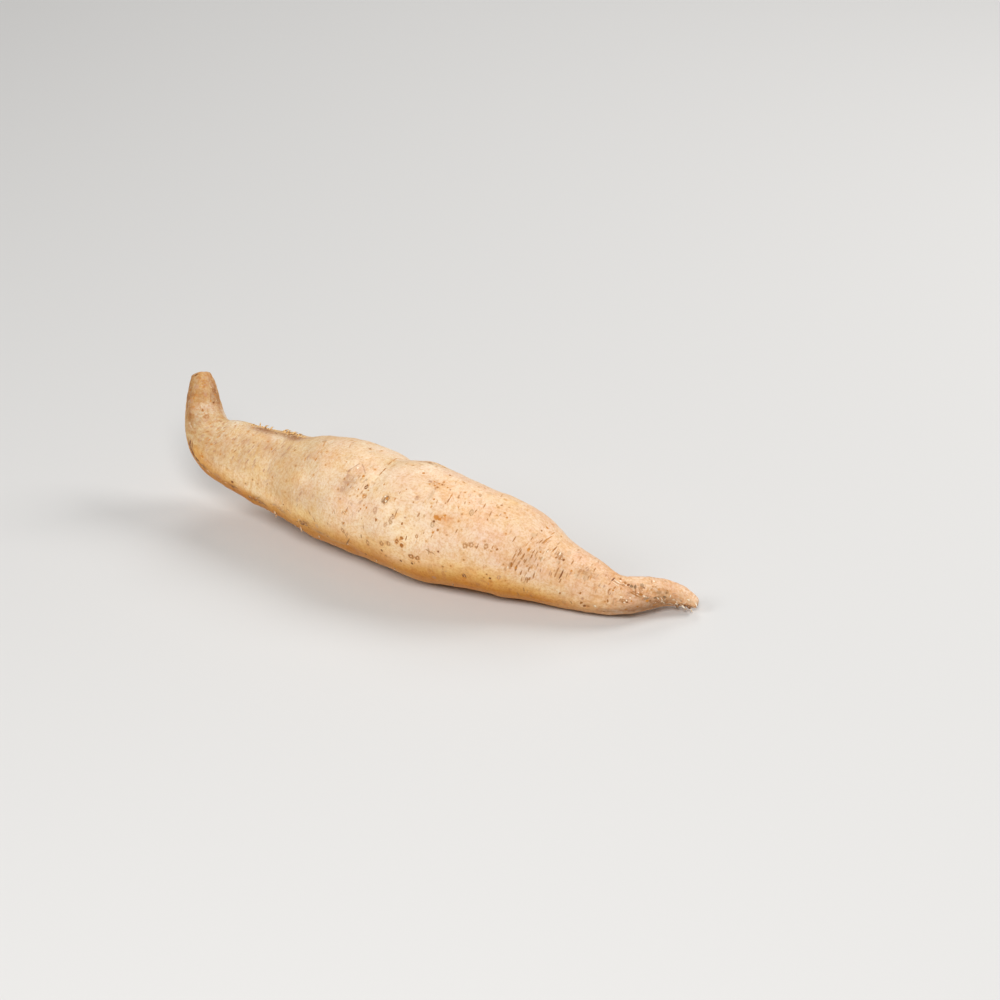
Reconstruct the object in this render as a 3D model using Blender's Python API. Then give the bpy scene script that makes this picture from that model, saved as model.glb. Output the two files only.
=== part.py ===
"""A sweet potato: one whole storage root, lying on its belly with its stem end raised.

Units are metres and +Z is up. X runs along the root, from the stem end at -X to the root tip at +X.
The origin is under the middle of the root's bounding box, on the surface that the root lies on.
"""

import math

import bmesh
import bpy
import numpy as np

# Driving sizes
LENGTH = 0.240          # end to end, measured along X
RADIUS = 0.024          # half of the belly's greatest thickness
RING_STEP = 0.00245     # distance between two rings along the root
SIDES = 44              # corners of a ring
CUT_RIM = 0.0007        # bark left round the stem cut
CUT_DEPTH = 0.0008      # how far the dried cut has sunk inside that rim

# The centre line, from the stem cut to the root tip. A row has the place along X as a share of LENGTH,
# then the place along Y, the height and the half thickness as shares of RADIUS.
CENTRE_LINE = (
    (-0.483, 0.830, 2.215, 0.170),  # stem cut
    (-0.471, 0.665, 1.985, 0.268),
    (-0.459, 0.475, 1.640, 0.342),
    (-0.439, 0.300, 1.330, 0.440),  # stem, where it turns down
    (-0.405, 0.250, 1.125, 0.556),
    (-0.346, 0.229, 1.000, 0.654),
    (-0.275, 0.208, 0.904, 0.750),  # neck
    (-0.192, 0.083, 0.925, 0.902),
    (-0.108, -0.083, 0.962, 0.962),  # belly
    (-0.042, -0.250, 0.940, 0.945),
    (0.012, -0.375, 0.965, 0.985),  # thickest place
    (0.075, -0.396, 0.930, 0.935),
    (0.150, -0.375, 0.870, 0.850),
    (0.204, -0.358, 0.778, 0.765),  # shoulder
    (0.246, -0.358, 0.650, 0.625),
    (0.292, -0.362, 0.530, 0.512),  # waist
    (0.333, -0.367, 0.455, 0.433),
    (0.371, -0.333, 0.385, 0.342),
    (0.406, -0.146, 0.375, 0.292),  # tail
    (0.438, 0.146, 0.305, 0.228),
    (0.471, 0.283, 0.220, 0.160),
    (0.494, 0.250, 0.168, 0.070),  # root tip
)

# Broad lumps and hollows of the skin. A row has the distance along the centre line from the stem cut,
# the degrees round from the top towards +Y, the reach along, the reach round in degrees, and the height.
LUMPS = (
    (0.035, 35, 0.008, 40, 0.0010),     # crook of the stem
    (0.030, -140, 0.010, 50, 0.0004),   # outside of the bend
    (0.050, -150, 0.010, 40, -0.0006),
    (0.072, -150, 0.012, 36, -0.0008),  # hollow under the neck
    (0.090, 30, 0.024, 45, 0.0006),     # back of the belly
    (0.122, 35, 0.0035, 32, -0.0009),   # nick in the back
    (0.134, 28, 0.009, 34, 0.0016),     # shoulder beyond the nick
    (0.118, -70, 0.016, 30, 0.0006),
    (0.136, -150, 0.016, 32, -0.0006),
    (0.150, -100, 0.018, 26, -0.0005),
    (0.172, -60, 0.012, 28, 0.0006),
    (0.178, 32, 0.010, 30, -0.0005),
    (0.192, -150, 0.015, 36, 0.0013),   # heel under the shoulder
    (0.198, 30, 0.008, 36, -0.0007),    # hollow beyond the shoulder
    (0.078, -80, 0.014, 34, -0.0005),
    (0.066, 110, 0.015, 40, 0.0008),
    (0.104, 118, 0.018, 34, -0.0008),
    (0.150, 100, 0.015, 38, 0.0010),
    (0.182, 130, 0.016, 40, -0.0007),
    (0.217, -150, 0.012, 45, 0.0007),   # heel of the waist
    (0.230, 25, 0.006, 60, -0.0004),    # dip before the tail
    (0.243, 20, 0.009, 60, 0.0004),
    (0.122, 164, 0.034, 40, 0.0013),    # the belly widened where the root lies
)

# Root scars: small sunken eyes, each in a slightly raised ring. The same two places, then the radius of
# the ring and its depth.
EYES = (
    (0.0277, -96, 0.0036, 0.0008),      # outside of the stem's bend
    (0.1124, -33, 0.0052, 0.0006),      # wide shallow blemish
    (0.1214, -46, 0.0034, 0.0010),
    (0.1332, -44, 0.0036, 0.0010),
    (0.1380, -60, 0.0032, 0.0006),
    (0.1510, -54, 0.0034, 0.0008),
    (0.1642, -29, 0.0030, 0.0007),
    (0.1664, -109, 0.0032, 0.0009),
    (0.1846, -76, 0.0034, 0.0008),
    (0.2020, -38, 0.0036, -0.0009),     # a stub that stands proud
    (0.0560, 60, 0.0036, 0.0009),
    (0.0930, 95, 0.0040, 0.0011),
    (0.1280, 140, 0.0042, 0.0010),
    (0.1580, 62, 0.0036, 0.0009),
    (0.1960, 104, 0.0034, 0.0009),
    (0.0710, 170, 0.0036, 0.0008),
    (0.1760, -172, 0.0034, 0.0007),
)

# Wrinkles along the tail and along the stem: where they are deepest, their reach along, how many there
# are round the root, and their height.
TAIL_WRINKLES = (0.240, 0.016, 9, 0.00034)
STEM_WRINKLES = (0.014, 0.012, 7, 0.00030)

# Slow waves of the whole skin: waves along each metre, lobes round the root, where the wave starts,
# and its height.
WAVES = (
    (21.0, 2, 0.4, 0.00028),
    (34.0, 3, 1.9, 0.00022),
    (55.0, 2, 4.1, 0.00014),
    (47.0, 5, 2.6, 0.00010),
)

SKIN_COLOUR = (0.62, 0.44, 0.25, 1.0)
SKIN_ROUGHNESS = 0.62


def clear_scene():
    """Removes every object that the scene starts with."""
    for thing in list(bpy.data.objects):
        bpy.data.objects.remove(thing, do_unlink=True)


def smooth_curve(places, values, wanted):
    """Reads a natural cubic spline, which passes through values at places, at the wanted places."""
    count = len(places)
    gaps = np.diff(places)
    matrix = np.eye(count)
    right = np.zeros(values.shape)
    for i in range(1, count - 1):
        matrix[i, i - 1 : i + 2] = gaps[i - 1], 2 * (gaps[i - 1] + gaps[i]), gaps[i]
        after = (values[i + 1] - values[i]) / gaps[i]
        before = (values[i] - values[i - 1]) / gaps[i - 1]
        right[i] = 6 * (after - before)
    bend = np.linalg.solve(matrix, right)
    k = np.clip(np.searchsorted(places, wanted) - 1, 0, count - 2)
    gap = gaps[k][:, None]
    past = (wanted - places[k])[:, None]
    left = gap - past
    cubic = (bend[k] * left**3 + bend[k + 1] * past**3) / (6 * gap)
    straight = (values[k] / gap - bend[k] * gap / 6) * left
    return cubic + straight + (values[k + 1] / gap - bend[k + 1] * gap / 6) * past


def centre_line():
    """The centre line at even steps: distances from the stem cut, points, and half thicknesses."""
    rows = np.array(CENTRE_LINE) * (LENGTH, RADIUS, RADIUS, RADIUS)
    chord = np.append(0, np.cumsum(np.linalg.norm(np.diff(rows[:, :3], axis=0), axis=1)))
    dense = smooth_curve(chord, rows, np.linspace(0, chord[-1], 3000))
    travelled = np.append(0, np.cumsum(np.linalg.norm(np.diff(dense[:, :3], axis=0), axis=1)))
    distances = np.linspace(0, travelled[-1], round(travelled[-1] / RING_STEP) + 1)
    even = np.stack([np.interp(distances, travelled, dense[:, k]) for k in range(4)], axis=1)
    return distances, even[:, :3], even[:, 3]


def bump(distance, centre, reach):
    """One smooth hump of height 1, which falls away over the reach."""
    return np.exp(-(((distance - centre) / reach) ** 2))


def turn_between(angle, centre):
    """Degrees from centre to angle, the short way round."""
    return (angle - centre + 180) % 360 - 180


def relief(along, degrees, thickness):
    """How far the skin stands outside its round section, for arrays of places on the root."""
    height = np.zeros(np.broadcast(along, degrees).shape)
    round_about = np.radians(degrees)
    for centre, at, reach, reach_round, rise in LUMPS:
        height += rise * bump(along, centre, reach) * bump(turn_between(degrees, at), 0, reach_round)
    for per_metre, lobes, start, rise in WAVES:
        phase = 2 * math.pi * per_metre * along + start
        height += rise * np.sin(phase) * np.cos(lobes * round_about + 0.6 * phase)
    for centre, reach, ribs, rise in (TAIL_WRINKLES, STEM_WRINKLES):
        drift = 60 * (along - centre)
        height += rise * bump(along, centre, reach) * np.cos(ribs * (round_about + drift))
    for centre, at, radius, depth in EYES:
        aside = np.radians(turn_between(degrees, at)) * thickness
        off = np.hypot(along - centre, aside) / radius
        height -= depth * (1 - 1.3 * off**2) * np.exp(-1.4 * off**2)
    return height * np.clip(thickness / (0.5 * RADIUS), 0, 1)


def skin_rings():
    """The corners of every ring, from the stem cut to the root tip."""
    distances, middles, thickness = centre_line()
    forward = np.gradient(middles, axis=0)
    forward /= np.linalg.norm(forward, axis=1)[:, None]
    aside = np.cross((0, 0, 1), forward)
    aside /= np.linalg.norm(aside, axis=1)[:, None]
    upward = np.cross(forward, aside)
    degrees = np.arange(SIDES) * 360 / SIDES
    turn = np.radians(degrees)[None, :, None]
    reach = thickness[:, None] + relief(distances[:, None], degrees[None, :], thickness[:, None])
    outward = np.cos(turn) * upward[:, None] + np.sin(turn) * aside[:, None]
    return middles[:, None] + reach[..., None] * outward


def rest_on_surface(rings):
    """Flattens what would lie below the surface, then puts the origin under the middle of the box."""
    rings[..., 2] = np.maximum(rings[..., 2], 0)
    middle = (rings.min(axis=(0, 1)) + rings.max(axis=(0, 1))) / 2
    return rings - (middle[0], middle[1], 0)


def sink_cut(mesh, face):
    """Leaves a rim of bark round the stem cut and sinks the dried cut inside it."""
    bmesh.ops.inset_region(mesh, faces=[face], thickness=CUT_RIM, depth=-CUT_DEPTH)
    bmesh.ops.poke(mesh, faces=[face], offset=0)


def skin_material():
    """Pale tan skin, dull and a little rough."""
    material = bpy.data.materials.new("skin")
    material.use_nodes = True
    shader = material.node_tree.nodes["Principled BSDF"]
    shader.inputs["Base Color"].default_value = SKIN_COLOUR
    shader.inputs["Roughness"].default_value = SKIN_ROUGHNESS
    shader.inputs["Metallic"].default_value = 0.0
    material.diffuse_color = SKIN_COLOUR
    return material


def make_root():
    """The root as one closed mesh object."""
    mesh = bmesh.new()
    rings = [[mesh.verts.new(corner) for corner in ring] for ring in rest_on_surface(skin_rings())]
    for ring, following in zip(rings, rings[1:]):
        for i in range(SIDES):
            j = (i + 1) % SIDES
            mesh.faces.new((ring[i], ring[j], following[j], following[i]))
    cut = mesh.faces.new(rings[0][::-1])
    tip = mesh.faces.new(rings[-1])
    bmesh.ops.recalc_face_normals(mesh, faces=mesh.faces)
    sink_cut(mesh, cut)
    bmesh.ops.poke(mesh, faces=[tip], offset=0)
    data = bpy.data.meshes.new("sweet_potato")
    mesh.to_mesh(data)
    mesh.free()
    data.materials.append(skin_material())
    data.shade_smooth()
    root = bpy.data.objects.new("sweet_potato", data)
    bpy.context.scene.collection.objects.link(root)
    return root


clear_scene()
make_root()
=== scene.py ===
"""The looks of the sweet potato: its scarred skin, its crumbs of bark, its rootlets and its torn tail.

Units are metres and +Z is up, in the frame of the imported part. A millimetre is written MM.
"""

import math
import random

import bpy
import numpy as np
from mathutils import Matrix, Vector, noise
from mathutils.bvhtree import BVHTree


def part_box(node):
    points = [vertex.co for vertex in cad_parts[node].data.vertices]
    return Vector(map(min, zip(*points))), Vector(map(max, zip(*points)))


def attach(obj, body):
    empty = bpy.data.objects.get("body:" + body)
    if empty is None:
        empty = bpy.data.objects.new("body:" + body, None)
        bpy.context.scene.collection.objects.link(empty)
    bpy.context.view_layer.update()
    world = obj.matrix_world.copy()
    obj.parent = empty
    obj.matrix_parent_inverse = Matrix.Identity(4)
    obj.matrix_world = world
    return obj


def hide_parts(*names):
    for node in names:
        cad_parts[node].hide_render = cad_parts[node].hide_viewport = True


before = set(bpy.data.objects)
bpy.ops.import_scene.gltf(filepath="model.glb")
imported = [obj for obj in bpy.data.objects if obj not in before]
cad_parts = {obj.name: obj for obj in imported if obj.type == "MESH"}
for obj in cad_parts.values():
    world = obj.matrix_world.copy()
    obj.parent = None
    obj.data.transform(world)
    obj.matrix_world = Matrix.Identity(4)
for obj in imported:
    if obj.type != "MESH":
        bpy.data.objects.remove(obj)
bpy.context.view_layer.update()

MM = 0.001
NODE = "sweet_potato"
random.seed(7)

# Camera: where it stands, how it is turned in degrees, and its lens and film width in millimetres
CAMERA_PLACE = (0.47394, -0.98479, 0.66100)
CAMERA_TURN = (60, 0, 24)
LENS = 110.0
FILM = 36.0
PICTURE = 1000          # pixels along each side of the picture

# Lamps: name, place, width in metres and watts
LAMPS = (
    ("front_high", (0.35, -0.80, 1.0), 0.6, 11.0),
    ("left_fill", (-0.75, -0.80, 0.8), 0.6, 5.2),
    ("back_rim", (-0.35, 0.90, 0.9), 0.6, 3.8),
    ("right_rim", (0.70, 0.70, 0.8), 0.6, 7.6),
)
LAMP_AIM = (0, 0, 0.02)
SURROUND = 0.14         # strength of the light from all round
FLOOR_COLOUR = (0.66, 0.65, 0.635)
FLOOR_WIDTH = 12

# The root's centre line, as in the part: places along X as shares of LENGTH, then the place along Y and
# the height as shares of RADIUS. The part's origin is shifted from the line's own by ORIGIN.
LENGTH = 0.240
RADIUS = 0.024
ORIGIN = (0.000272, 0.004112, 0)
CENTRE_LINE = (
    (-0.483, 0.830, 2.215),
    (-0.471, 0.665, 1.985),
    (-0.459, 0.475, 1.640),
    (-0.439, 0.300, 1.330),
    (-0.405, 0.250, 1.125),
    (-0.346, 0.229, 1.000),
    (-0.275, 0.208, 0.904),
    (-0.192, 0.083, 0.925),
    (-0.108, -0.083, 0.962),
    (-0.042, -0.250, 0.940),
    (0.012, -0.375, 0.965),
    (0.075, -0.396, 0.930),
    (0.150, -0.375, 0.870),
    (0.204, -0.358, 0.778),
    (0.246, -0.358, 0.650),
    (0.292, -0.362, 0.530),
    (0.333, -0.367, 0.455),
    (0.371, -0.333, 0.385),
    (0.406, -0.146, 0.375),
    (0.438, 0.146, 0.305),
    (0.471, 0.283, 0.220),
    (0.494, 0.250, 0.168),
)
LINE_STEPS = 700        # points that the smoothed line is read at
LINE_SOFTNESS = 41      # steps that the smoothing reaches over

# Colours of the skin
TINTS = {
    "butter": (0.96, 0.71, 0.440),
    "honey": (0.97, 0.70, 0.330),
    "cream": (0.87, 0.65, 0.440),
    "peach": (0.86, 0.595, 0.385),
    "rose": (0.78, 0.480, 0.275),
    "tan": (0.73, 0.510, 0.285),
    "clay": (0.63, 0.430, 0.225),
    "ochre": (0.60, 0.350, 0.145),
    "gold": (0.72, 0.36, 0.085),
    # These two tints, laid low round the root, are painted shade and painted warm bounce light as well as
    # soil staining
    "amber": (0.89, 0.53, 0.155),
    "soil_and_shade": (0.66, 0.260, 0.015),
    "bloom": (0.78, 0.665, 0.51),
    "mauve": (0.50, 0.31, 0.19),
    "bark": (0.32, 0.150, 0.055),
}

# The skin's colour along the root: millimetres from the stem cut, and the tint there. The darker ochre
# towards the stem end is partly the skin's own tone and partly painted shade.
TINTS_ALONG = (
    (0, "ochre"),
    (14, "ochre"),
    (24, "clay"),
    (40, "tan"),
    (80, "tan"),
    (112, "cream"),
    (140, "cream"),
    (165, "peach"),
    (200, "peach"),
    (232, "rose"),
    (246, "rose"),
    (262, "peach"),
)

# The skin's colour round the root: a tint, then degrees from the top, negative on the side that the
# photograph shows, each with the tint's share there. The amber and brown-orange tints low on the root
# are painted shade and painted warm bounce light, along with some soil staining.
TINTS_ROUND = (
    ("amber", (
        (-180, 0.3), (-130, 0.3), (-108, 0.85), (-80, 0.0),
        (76, 0.0), (112, 0.5), (150, 0.3), (180, 0.3))),
    ("soil_and_shade", (
        (-180, 0.5), (-150, 0.7), (-120, 0.95), (-107, 0.38), (-94, 0.0),
        (112, 0.0), (140, 0.4), (180, 0.5))),
)
ROUND_FADE = ((198, 1.0), (226, 0.25))      # how these shares fade towards the tail, by millimetres along

# Soft touches of colour by the pixel of the photograph that they are on: tint, pixels across and down,
# reach round the root and along it in millimetres, and share
TOUCHES = (
    ("bark", 190, 391, 1.8, 3.6, 0.60),
    ("bark", 187.6, 397, 0.9, 5.0, 0.75),
    ("clay", 204, 385, 5.0, 6.0, 0.35),
    ("gold", 204, 384, 3.0, 4.0, 0.20),
    ("bark", 215, 390.5, 1.5, 3.4, 0.75),
    ("bark", 217.6, 399, 0.9, 3.0, 0.70),
    ("mauve", 213, 397, 1.6, 2.4, 0.70),
    ("mauve", 196, 382, 1.4, 2.0, 0.35),
    ("mauve", 209, 380, 1.2, 1.8, 0.35),
    ("mauve", 203, 391, 1.6, 1.4, 0.35),
    ("cream", 205, 405.6, 6.0, 1.6, 0.45),
    ("bloom", 206, 412, 5.0, 3.0, 0.50),
    ("bark", 189.5, 415, 1.1, 3.6, 0.75),
    ("mauve", 196, 421, 2.4, 2.2, 0.35),
    ("cream", 207, 426, 4.0, 3.0, 0.35),
    ("bloom", 225, 415, 3.0, 3.4, 0.80),
    ("bloom", 240, 422.5, 3.6, 6.0, 0.90),
    ("bloom", 220, 432, 4.0, 4.0, 0.35),
    ("gold", 197, 450, 2.0, 3.6, 0.50),
    ("bark", 190.4, 446, 0.9, 3.6, 0.85),
    ("gold", 206, 466, 1.6, 4.0, 0.40),
    ("bark", 201, 464, 0.8, 3.6, 0.70),
    ("gold", 222, 478, 1.8, 5.0, 0.30),
    ("butter", 232, 474, 2.6, 8.0, 0.45),
    ("butter", 251, 489, 2.4, 8.0, 0.85),
    ("butter", 272, 499, 2.2, 8.0, 0.70),
    ("honey", 296, 511, 2.0, 8.0, 0.45),
    ("bark", 233, 486, 0.8, 2.0, 0.75),
    ("bark", 251, 497.4, 0.8, 2.4, 0.75),
    ("mauve", 258, 501, 0.8, 3.0, 0.60),
    ("bark", 263, 503.6, 0.8, 2.0, 0.80),
    ("mauve", 283, 511.6, 0.8, 2.4, 0.50),
    ("bark", 304, 523.6, 0.8, 3.0, 0.70),
    ("mauve", 319, 532, 0.9, 3.0, 0.55),
    ("mauve", 338, 542, 0.9, 5.0, 0.40),
    ("mauve", 362, 553, 0.8, 5.0, 0.35),
    # Painted shadow under and round the crumbs of bark
    ("mauve", 262, 430.6, 2.2, 5.0, 0.95),
    ("bark", 267, 430, 1.4, 4.0, 0.75),
    ("mauve", 277, 434, 1.6, 4.0, 0.70),
    ("bark", 286, 434.6, 1.4, 3.4, 0.80),
    ("mauve", 295, 439, 2.0, 4.6, 0.95),
    ("bark", 294, 437.6, 1.4, 4.0, 0.80),
    ("bark", 262, 429.2, 1.2, 4.0, 0.70),
    ("mauve", 306, 438, 1.0, 3.6, 0.60),
    ("mauve", 268, 447, 3.0, 3.6, 0.40),
    ("mauve", 246, 440, 2.4, 3.0, 0.30),
    ("mauve", 284, 452, 3.6, 3.0, 0.30),
    ("bloom", 276, 437, 3.0, 3.0, 0.50),
    ("mauve", 243, 455, 5.0, 2.0, 0.26),
    ("mauve", 226, 448, 4.0, 2.0, 0.26),
    ("butter", 262, 472, 6.0, 6.0, 0.40),
    ("mauve", 270, 472, 2.5, 2.0, 0.22),
    ("butter", 303, 479, 5.0, 5.0, 0.60),
    ("butter", 250, 480, 2.6, 8.0, 0.55),
    ("butter", 330, 470, 6.0, 5.0, 0.35),
    ("bloom", 330, 442, 3.0, 9.0, 0.35),
    ("tan", 352, 455, 3.0, 3.0, 0.50),
    ("mauve", 319, 500, 4.0, 4.0, 0.26),
    ("mauve", 301, 492, 3.0, 3.0, 0.22),
    ("mauve", 350, 480, 3.6, 3.4, 0.48),
    ("rose", 359, 471, 2.6, 2.4, 0.60),
    ("mauve", 345, 489, 2.6, 2.2, 0.45),
    ("butter", 372, 478, 4.0, 3.0, 0.40),
    ("butter", 390, 508, 5.0, 5.0, 0.50),
    ("tan", 375, 452, 3.0, 8.0, 0.55),
    ("tan", 400, 462, 3.0, 8.0, 0.60),
    ("tan", 389, 465, 4.0, 6.0, 0.75),
    ("rose", 404, 476, 4.0, 7.0, 0.35),
    ("rose", 370, 462, 3.0, 6.0, 0.30),
    # Painted light: these brighten the lower belly
    ("butter", 410, 538, 5.0, 9.0, 0.60),
    ("butter", 395, 556, 3.0, 9.0, 0.60),
    ("butter", 430, 562, 2.6, 9.0, 0.50),
    ("butter", 350, 530, 3.0, 9.0, 0.40),
    ("mauve", 430, 462.5, 1.2, 4.0, 0.60),
    ("gold", 440, 464.8, 1.3, 4.0, 0.65),
    ("rose", 425, 478, 3.0, 3.0, 0.45),
    ("mauve", 431, 482, 2.6, 2.0, 0.34),
    ("cream", 441, 476, 3.0, 4.0, 0.45),
    ("rose", 440, 485, 3.4, 3.4, 0.45),
    ("mauve", 431.5, 494, 3.0, 0.8, 0.36),
    ("rose", 420, 500, 3.6, 3.0, 0.30),
    ("gold", 445, 498, 1.6, 1.6, 0.22),
    ("gold", 441, 517, 2.4, 3.6, 0.45),
    ("rose", 452, 519, 3.0, 3.0, 0.45),
    ("gold", 432, 508, 2.2, 1.6, 0.12),
    ("rose", 470, 495, 3.0, 5.0, 0.26),
    ("cream", 462, 505, 4.0, 4.0, 0.45),
    ("cream", 500, 500, 5.0, 8.0, 0.45),
    ("tan", 518, 514, 8.0, 12.0, 0.35),
    ("rose", 505, 532, 6.0, 8.0, 0.32),
    ("cream", 470, 535, 5.0, 6.0, 0.40),
    ("cream", 455, 552, 5.0, 8.0, 0.35),
    # Painted shade and painted warm bounce light along the lower edge of the belly
    ("gold", 433, 574, 2.0, 9.0, 0.36),
    ("amber", 450, 566, 3.0, 8.0, 0.40),
    ("amber", 480, 575, 3.4, 8.0, 0.60),
    ("gold", 474, 579, 2.0, 6.0, 0.50),
    ("gold", 492, 583, 1.6, 6.0, 0.34),
    ("rose", 519, 558, 5.0, 5.0, 0.40),
    ("rose", 538, 545, 5.0, 5.0, 0.40),
    ("mauve", 528, 560, 3.0, 3.0, 0.16),
    ("rose", 512, 566, 2.4, 2.4, 0.55),
    ("mauve", 562, 557, 2.4, 2.6, 0.36),
    ("mauve", 560, 573, 2.6, 2.0, 0.28),
    ("rose", 578, 570, 4.0, 5.0, 0.50),
    ("mauve", 587, 573, 2.0, 4.0, 0.34),
    ("cream", 592, 562, 1.6, 6.0, 0.35),
    ("tan", 560, 590, 4.0, 8.0, 0.45),
    ("mauve", 583, 604.4, 1.2, 2.0, 0.35),
    ("mauve", 603, 611.4, 0.9, 9.0, 0.35),
    ("rose", 592, 604, 2.2, 8.0, 0.25),
    ("mauve", 616, 611.4, 1.0, 9.0, 0.60),
    ("mauve", 630, 610.6, 1.2, 8.0, 0.70),
    ("cream", 612, 590, 3.0, 5.0, 0.40),
    ("peach", 632, 600, 2.6, 5.0, 0.60),
    ("peach", 648, 586, 3.0, 6.0, 0.60),
    ("peach", 664, 588, 3.0, 6.0, 0.50),
    ("mauve", 634, 591, 1.6, 2.4, 0.30),
    ("mauve", 644, 598, 1.2, 3.0, 0.30),
    ("mauve", 657, 591, 1.8, 2.0, 0.30),
    ("mauve", 666, 591.6, 1.4, 1.4, 0.45),
    ("mauve", 660, 598, 1.2, 2.0, 0.50),
    ("bloom", 668, 602, 1.4, 3.0, 0.60),
    ("mauve", 680, 604.5, 1.1, 4.0, 0.60),
    ("mauve", 628, 610, 2.2, 8.0, 0.60),
    ("bark", 642, 608.2, 2.2, 7.0, 0.75),
    ("bark", 657, 604.4, 2.2, 6.0, 0.85),
    ("mauve", 650, 604.6, 1.8, 6.0, 0.55),
    ("bark", 671, 604.4, 1.0, 3.0, 0.75),
    ("bark", 689.4, 606.4, 0.9, 1.8, 0.80),
    ("bark", 676.8, 605.2, 0.9, 1.4, 0.90),
    # Painted highlight: thin pale lines along the upper edges of the tail and of the right half
    ("cream", 600, 563.4, 0.7, 9.0, 0.60),
    ("cream", 624, 577.6, 0.6, 6.0, 0.60),
    ("cream", 645, 577.8, 0.6, 8.0, 0.70),
    ("cream", 666, 580.8, 0.6, 7.0, 0.60),
    ("cream", 684, 589.2, 0.6, 6.0, 0.50),
    ("cream", 695, 597.4, 0.6, 3.0, 0.50),
    ("butter", 560, 533, 0.9, 9.0, 0.40),
    ("butter", 520, 505, 0.9, 9.0, 0.40),
)

# How the skin is worn along the root: millimetres from the stem cut, then the strength of its streaks
# round the root, of its fibres along it, and of its blotches
WEAR_ALONG = (
    (0, 0.30, 0.80, 2.20),
    (22, 0.50, 0.60, 1.80),
    (40, 0.75, 0.10, 0.75),
    (90, 0.65, 0.05, 0.60),
    (125, 0.35, 0.10, 0.50),
    (160, 0.20, 0.40, 0.55),
    (205, 0.20, 0.70, 0.65),
    (235, 0.35, 1.10, 1.00),
    (262, 0.30, 1.10, 0.90),
)

# Rough places, with torn fibres: pixels across and down, reach round and along in millimetres, strength
ROUGH_PLACES = (
    (189, 394, 1.6, 5.0, 0.80),
    (214.5, 392, 1.6, 5.0, 0.85),
    (200, 384, 4.0, 3.0, 0.30),
    (190, 420, 1.4, 4.0, 0.50),
    (191, 449, 1.2, 5.0, 0.80),
    (204, 467, 1.0, 6.0, 0.75),
    (222, 480, 1.0, 6.0, 0.65),
    (234, 486, 0.9, 3.0, 0.70),
    (256, 498.4, 1.1, 5.0, 0.85),
    (280, 509, 0.9, 4.0, 0.60),
    (304, 522.6, 1.0, 5.0, 0.80),
    (324, 534.4, 0.8, 4.0, 0.60),
    (264, 430.5, 1.5, 5.0, 0.85),
    (294, 437, 1.6, 5.5, 0.95),
    (268, 448, 1.5, 2.5, 0.35),
    (350, 481, 3.2, 2.6, 0.34),
    (431, 463, 1.2, 6.0, 0.75),
    (437, 484, 2.4, 2.4, 0.40),
    (561, 556, 1.8, 1.8, 0.65),
    (587, 573, 2.0, 4.6, 0.50),
    (613, 580, 1.6, 3.0, 0.60),
    (624, 584, 1.6, 3.0, 0.90),
    (634, 590, 2.0, 3.0, 1.0),
    (641, 594, 1.8, 3.0, 1.0),
    (647, 597, 2.0, 3.4, 0.9),
    (652, 588, 2.4, 3.4, 0.35),
    (658, 600, 1.8, 3.6, 1.0),
    (668, 602, 1.6, 4.0, 0.9),
    (680, 604.5, 1.4, 4.5, 1.0),
    (690, 605, 1.4, 3.0, 0.6),
    (623, 600, 1.6, 3.0, 0.55),
    (584, 604, 1.2, 2.0, 0.55),
)

# Places where the skin's own pattern has many short slits: pixels across and down, reach round the root
# and along it in millimetres, and strength
SLIT_PLACES = (
    (524, 560, 8.0, 7.0, 1.0),
    (542, 545, 7.0, 7.0, 1.0),
    (528, 588, 5.0, 6.0, 0.6),
    (561, 566, 8.0, 5.0, 0.9),
    (586, 573, 6.0, 6.0, 1.0),
    (440, 484, 5.0, 5.0, 0.6),
    (630, 588, 7.0, 7.0, 0.9),
    (285, 448, 4.0, 8.0, 0.7),
    (240, 442, 6.0, 8.0, 0.5),
    (360, 478, 8.0, 6.0, 0.4),
)

# Inks of the skin's marks. A mark may also be drawn in one of the tints.
INKS = {
    "umber": (0.25, 0.085, 0.020),
    "brown": (0.42, 0.165, 0.036),
    "russet": (0.50, 0.205, 0.050),
    "rust": (0.60, 0.235, 0.040),
    "olive": (0.43, 0.215, 0.075),
    "grey": (0.66, 0.430, 0.250),
    "mauve": (0.52, 0.275, 0.155),
    "chalk": (0.94, 0.82, 0.62),
    "straw": (0.93, 0.76, 0.54),
    "dusk": (0.29, 0.165, 0.080),
}

# What each kind of mark shows: its outline, how wide the hole in the outline is, its middle, the stain
# round it, the bleached skin in it, and the millimetres that it is sunk, or raised where they are negative
KINDS = {
    "scar": (0.85, 0.58, 0.40, 0.60, 0.60, 0.30),
    "eye": (1.00, 0.30, 0.00, 0.85, 0.50, 0.26),
    "ring": (0.76, 0.32, 0.05, 0.60, 0.20, 0.03),
    "patch": (0.30, 0.55, 0.60, 0.50, 0.30, 0.04),
    "slit": (0.00, 0.50, 1.00, 0.45, 0.50, 0.02),
    "spot": (0.00, 0.50, 1.00, 0.70, 0.20, 0.04),
    "stain": (0.00, 0.50, 0.00, 0.90, 0.00, 0.00),
    "fleck": (0.00, 0.50, 1.00, 0.00, 0.00, -0.12),
}

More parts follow.
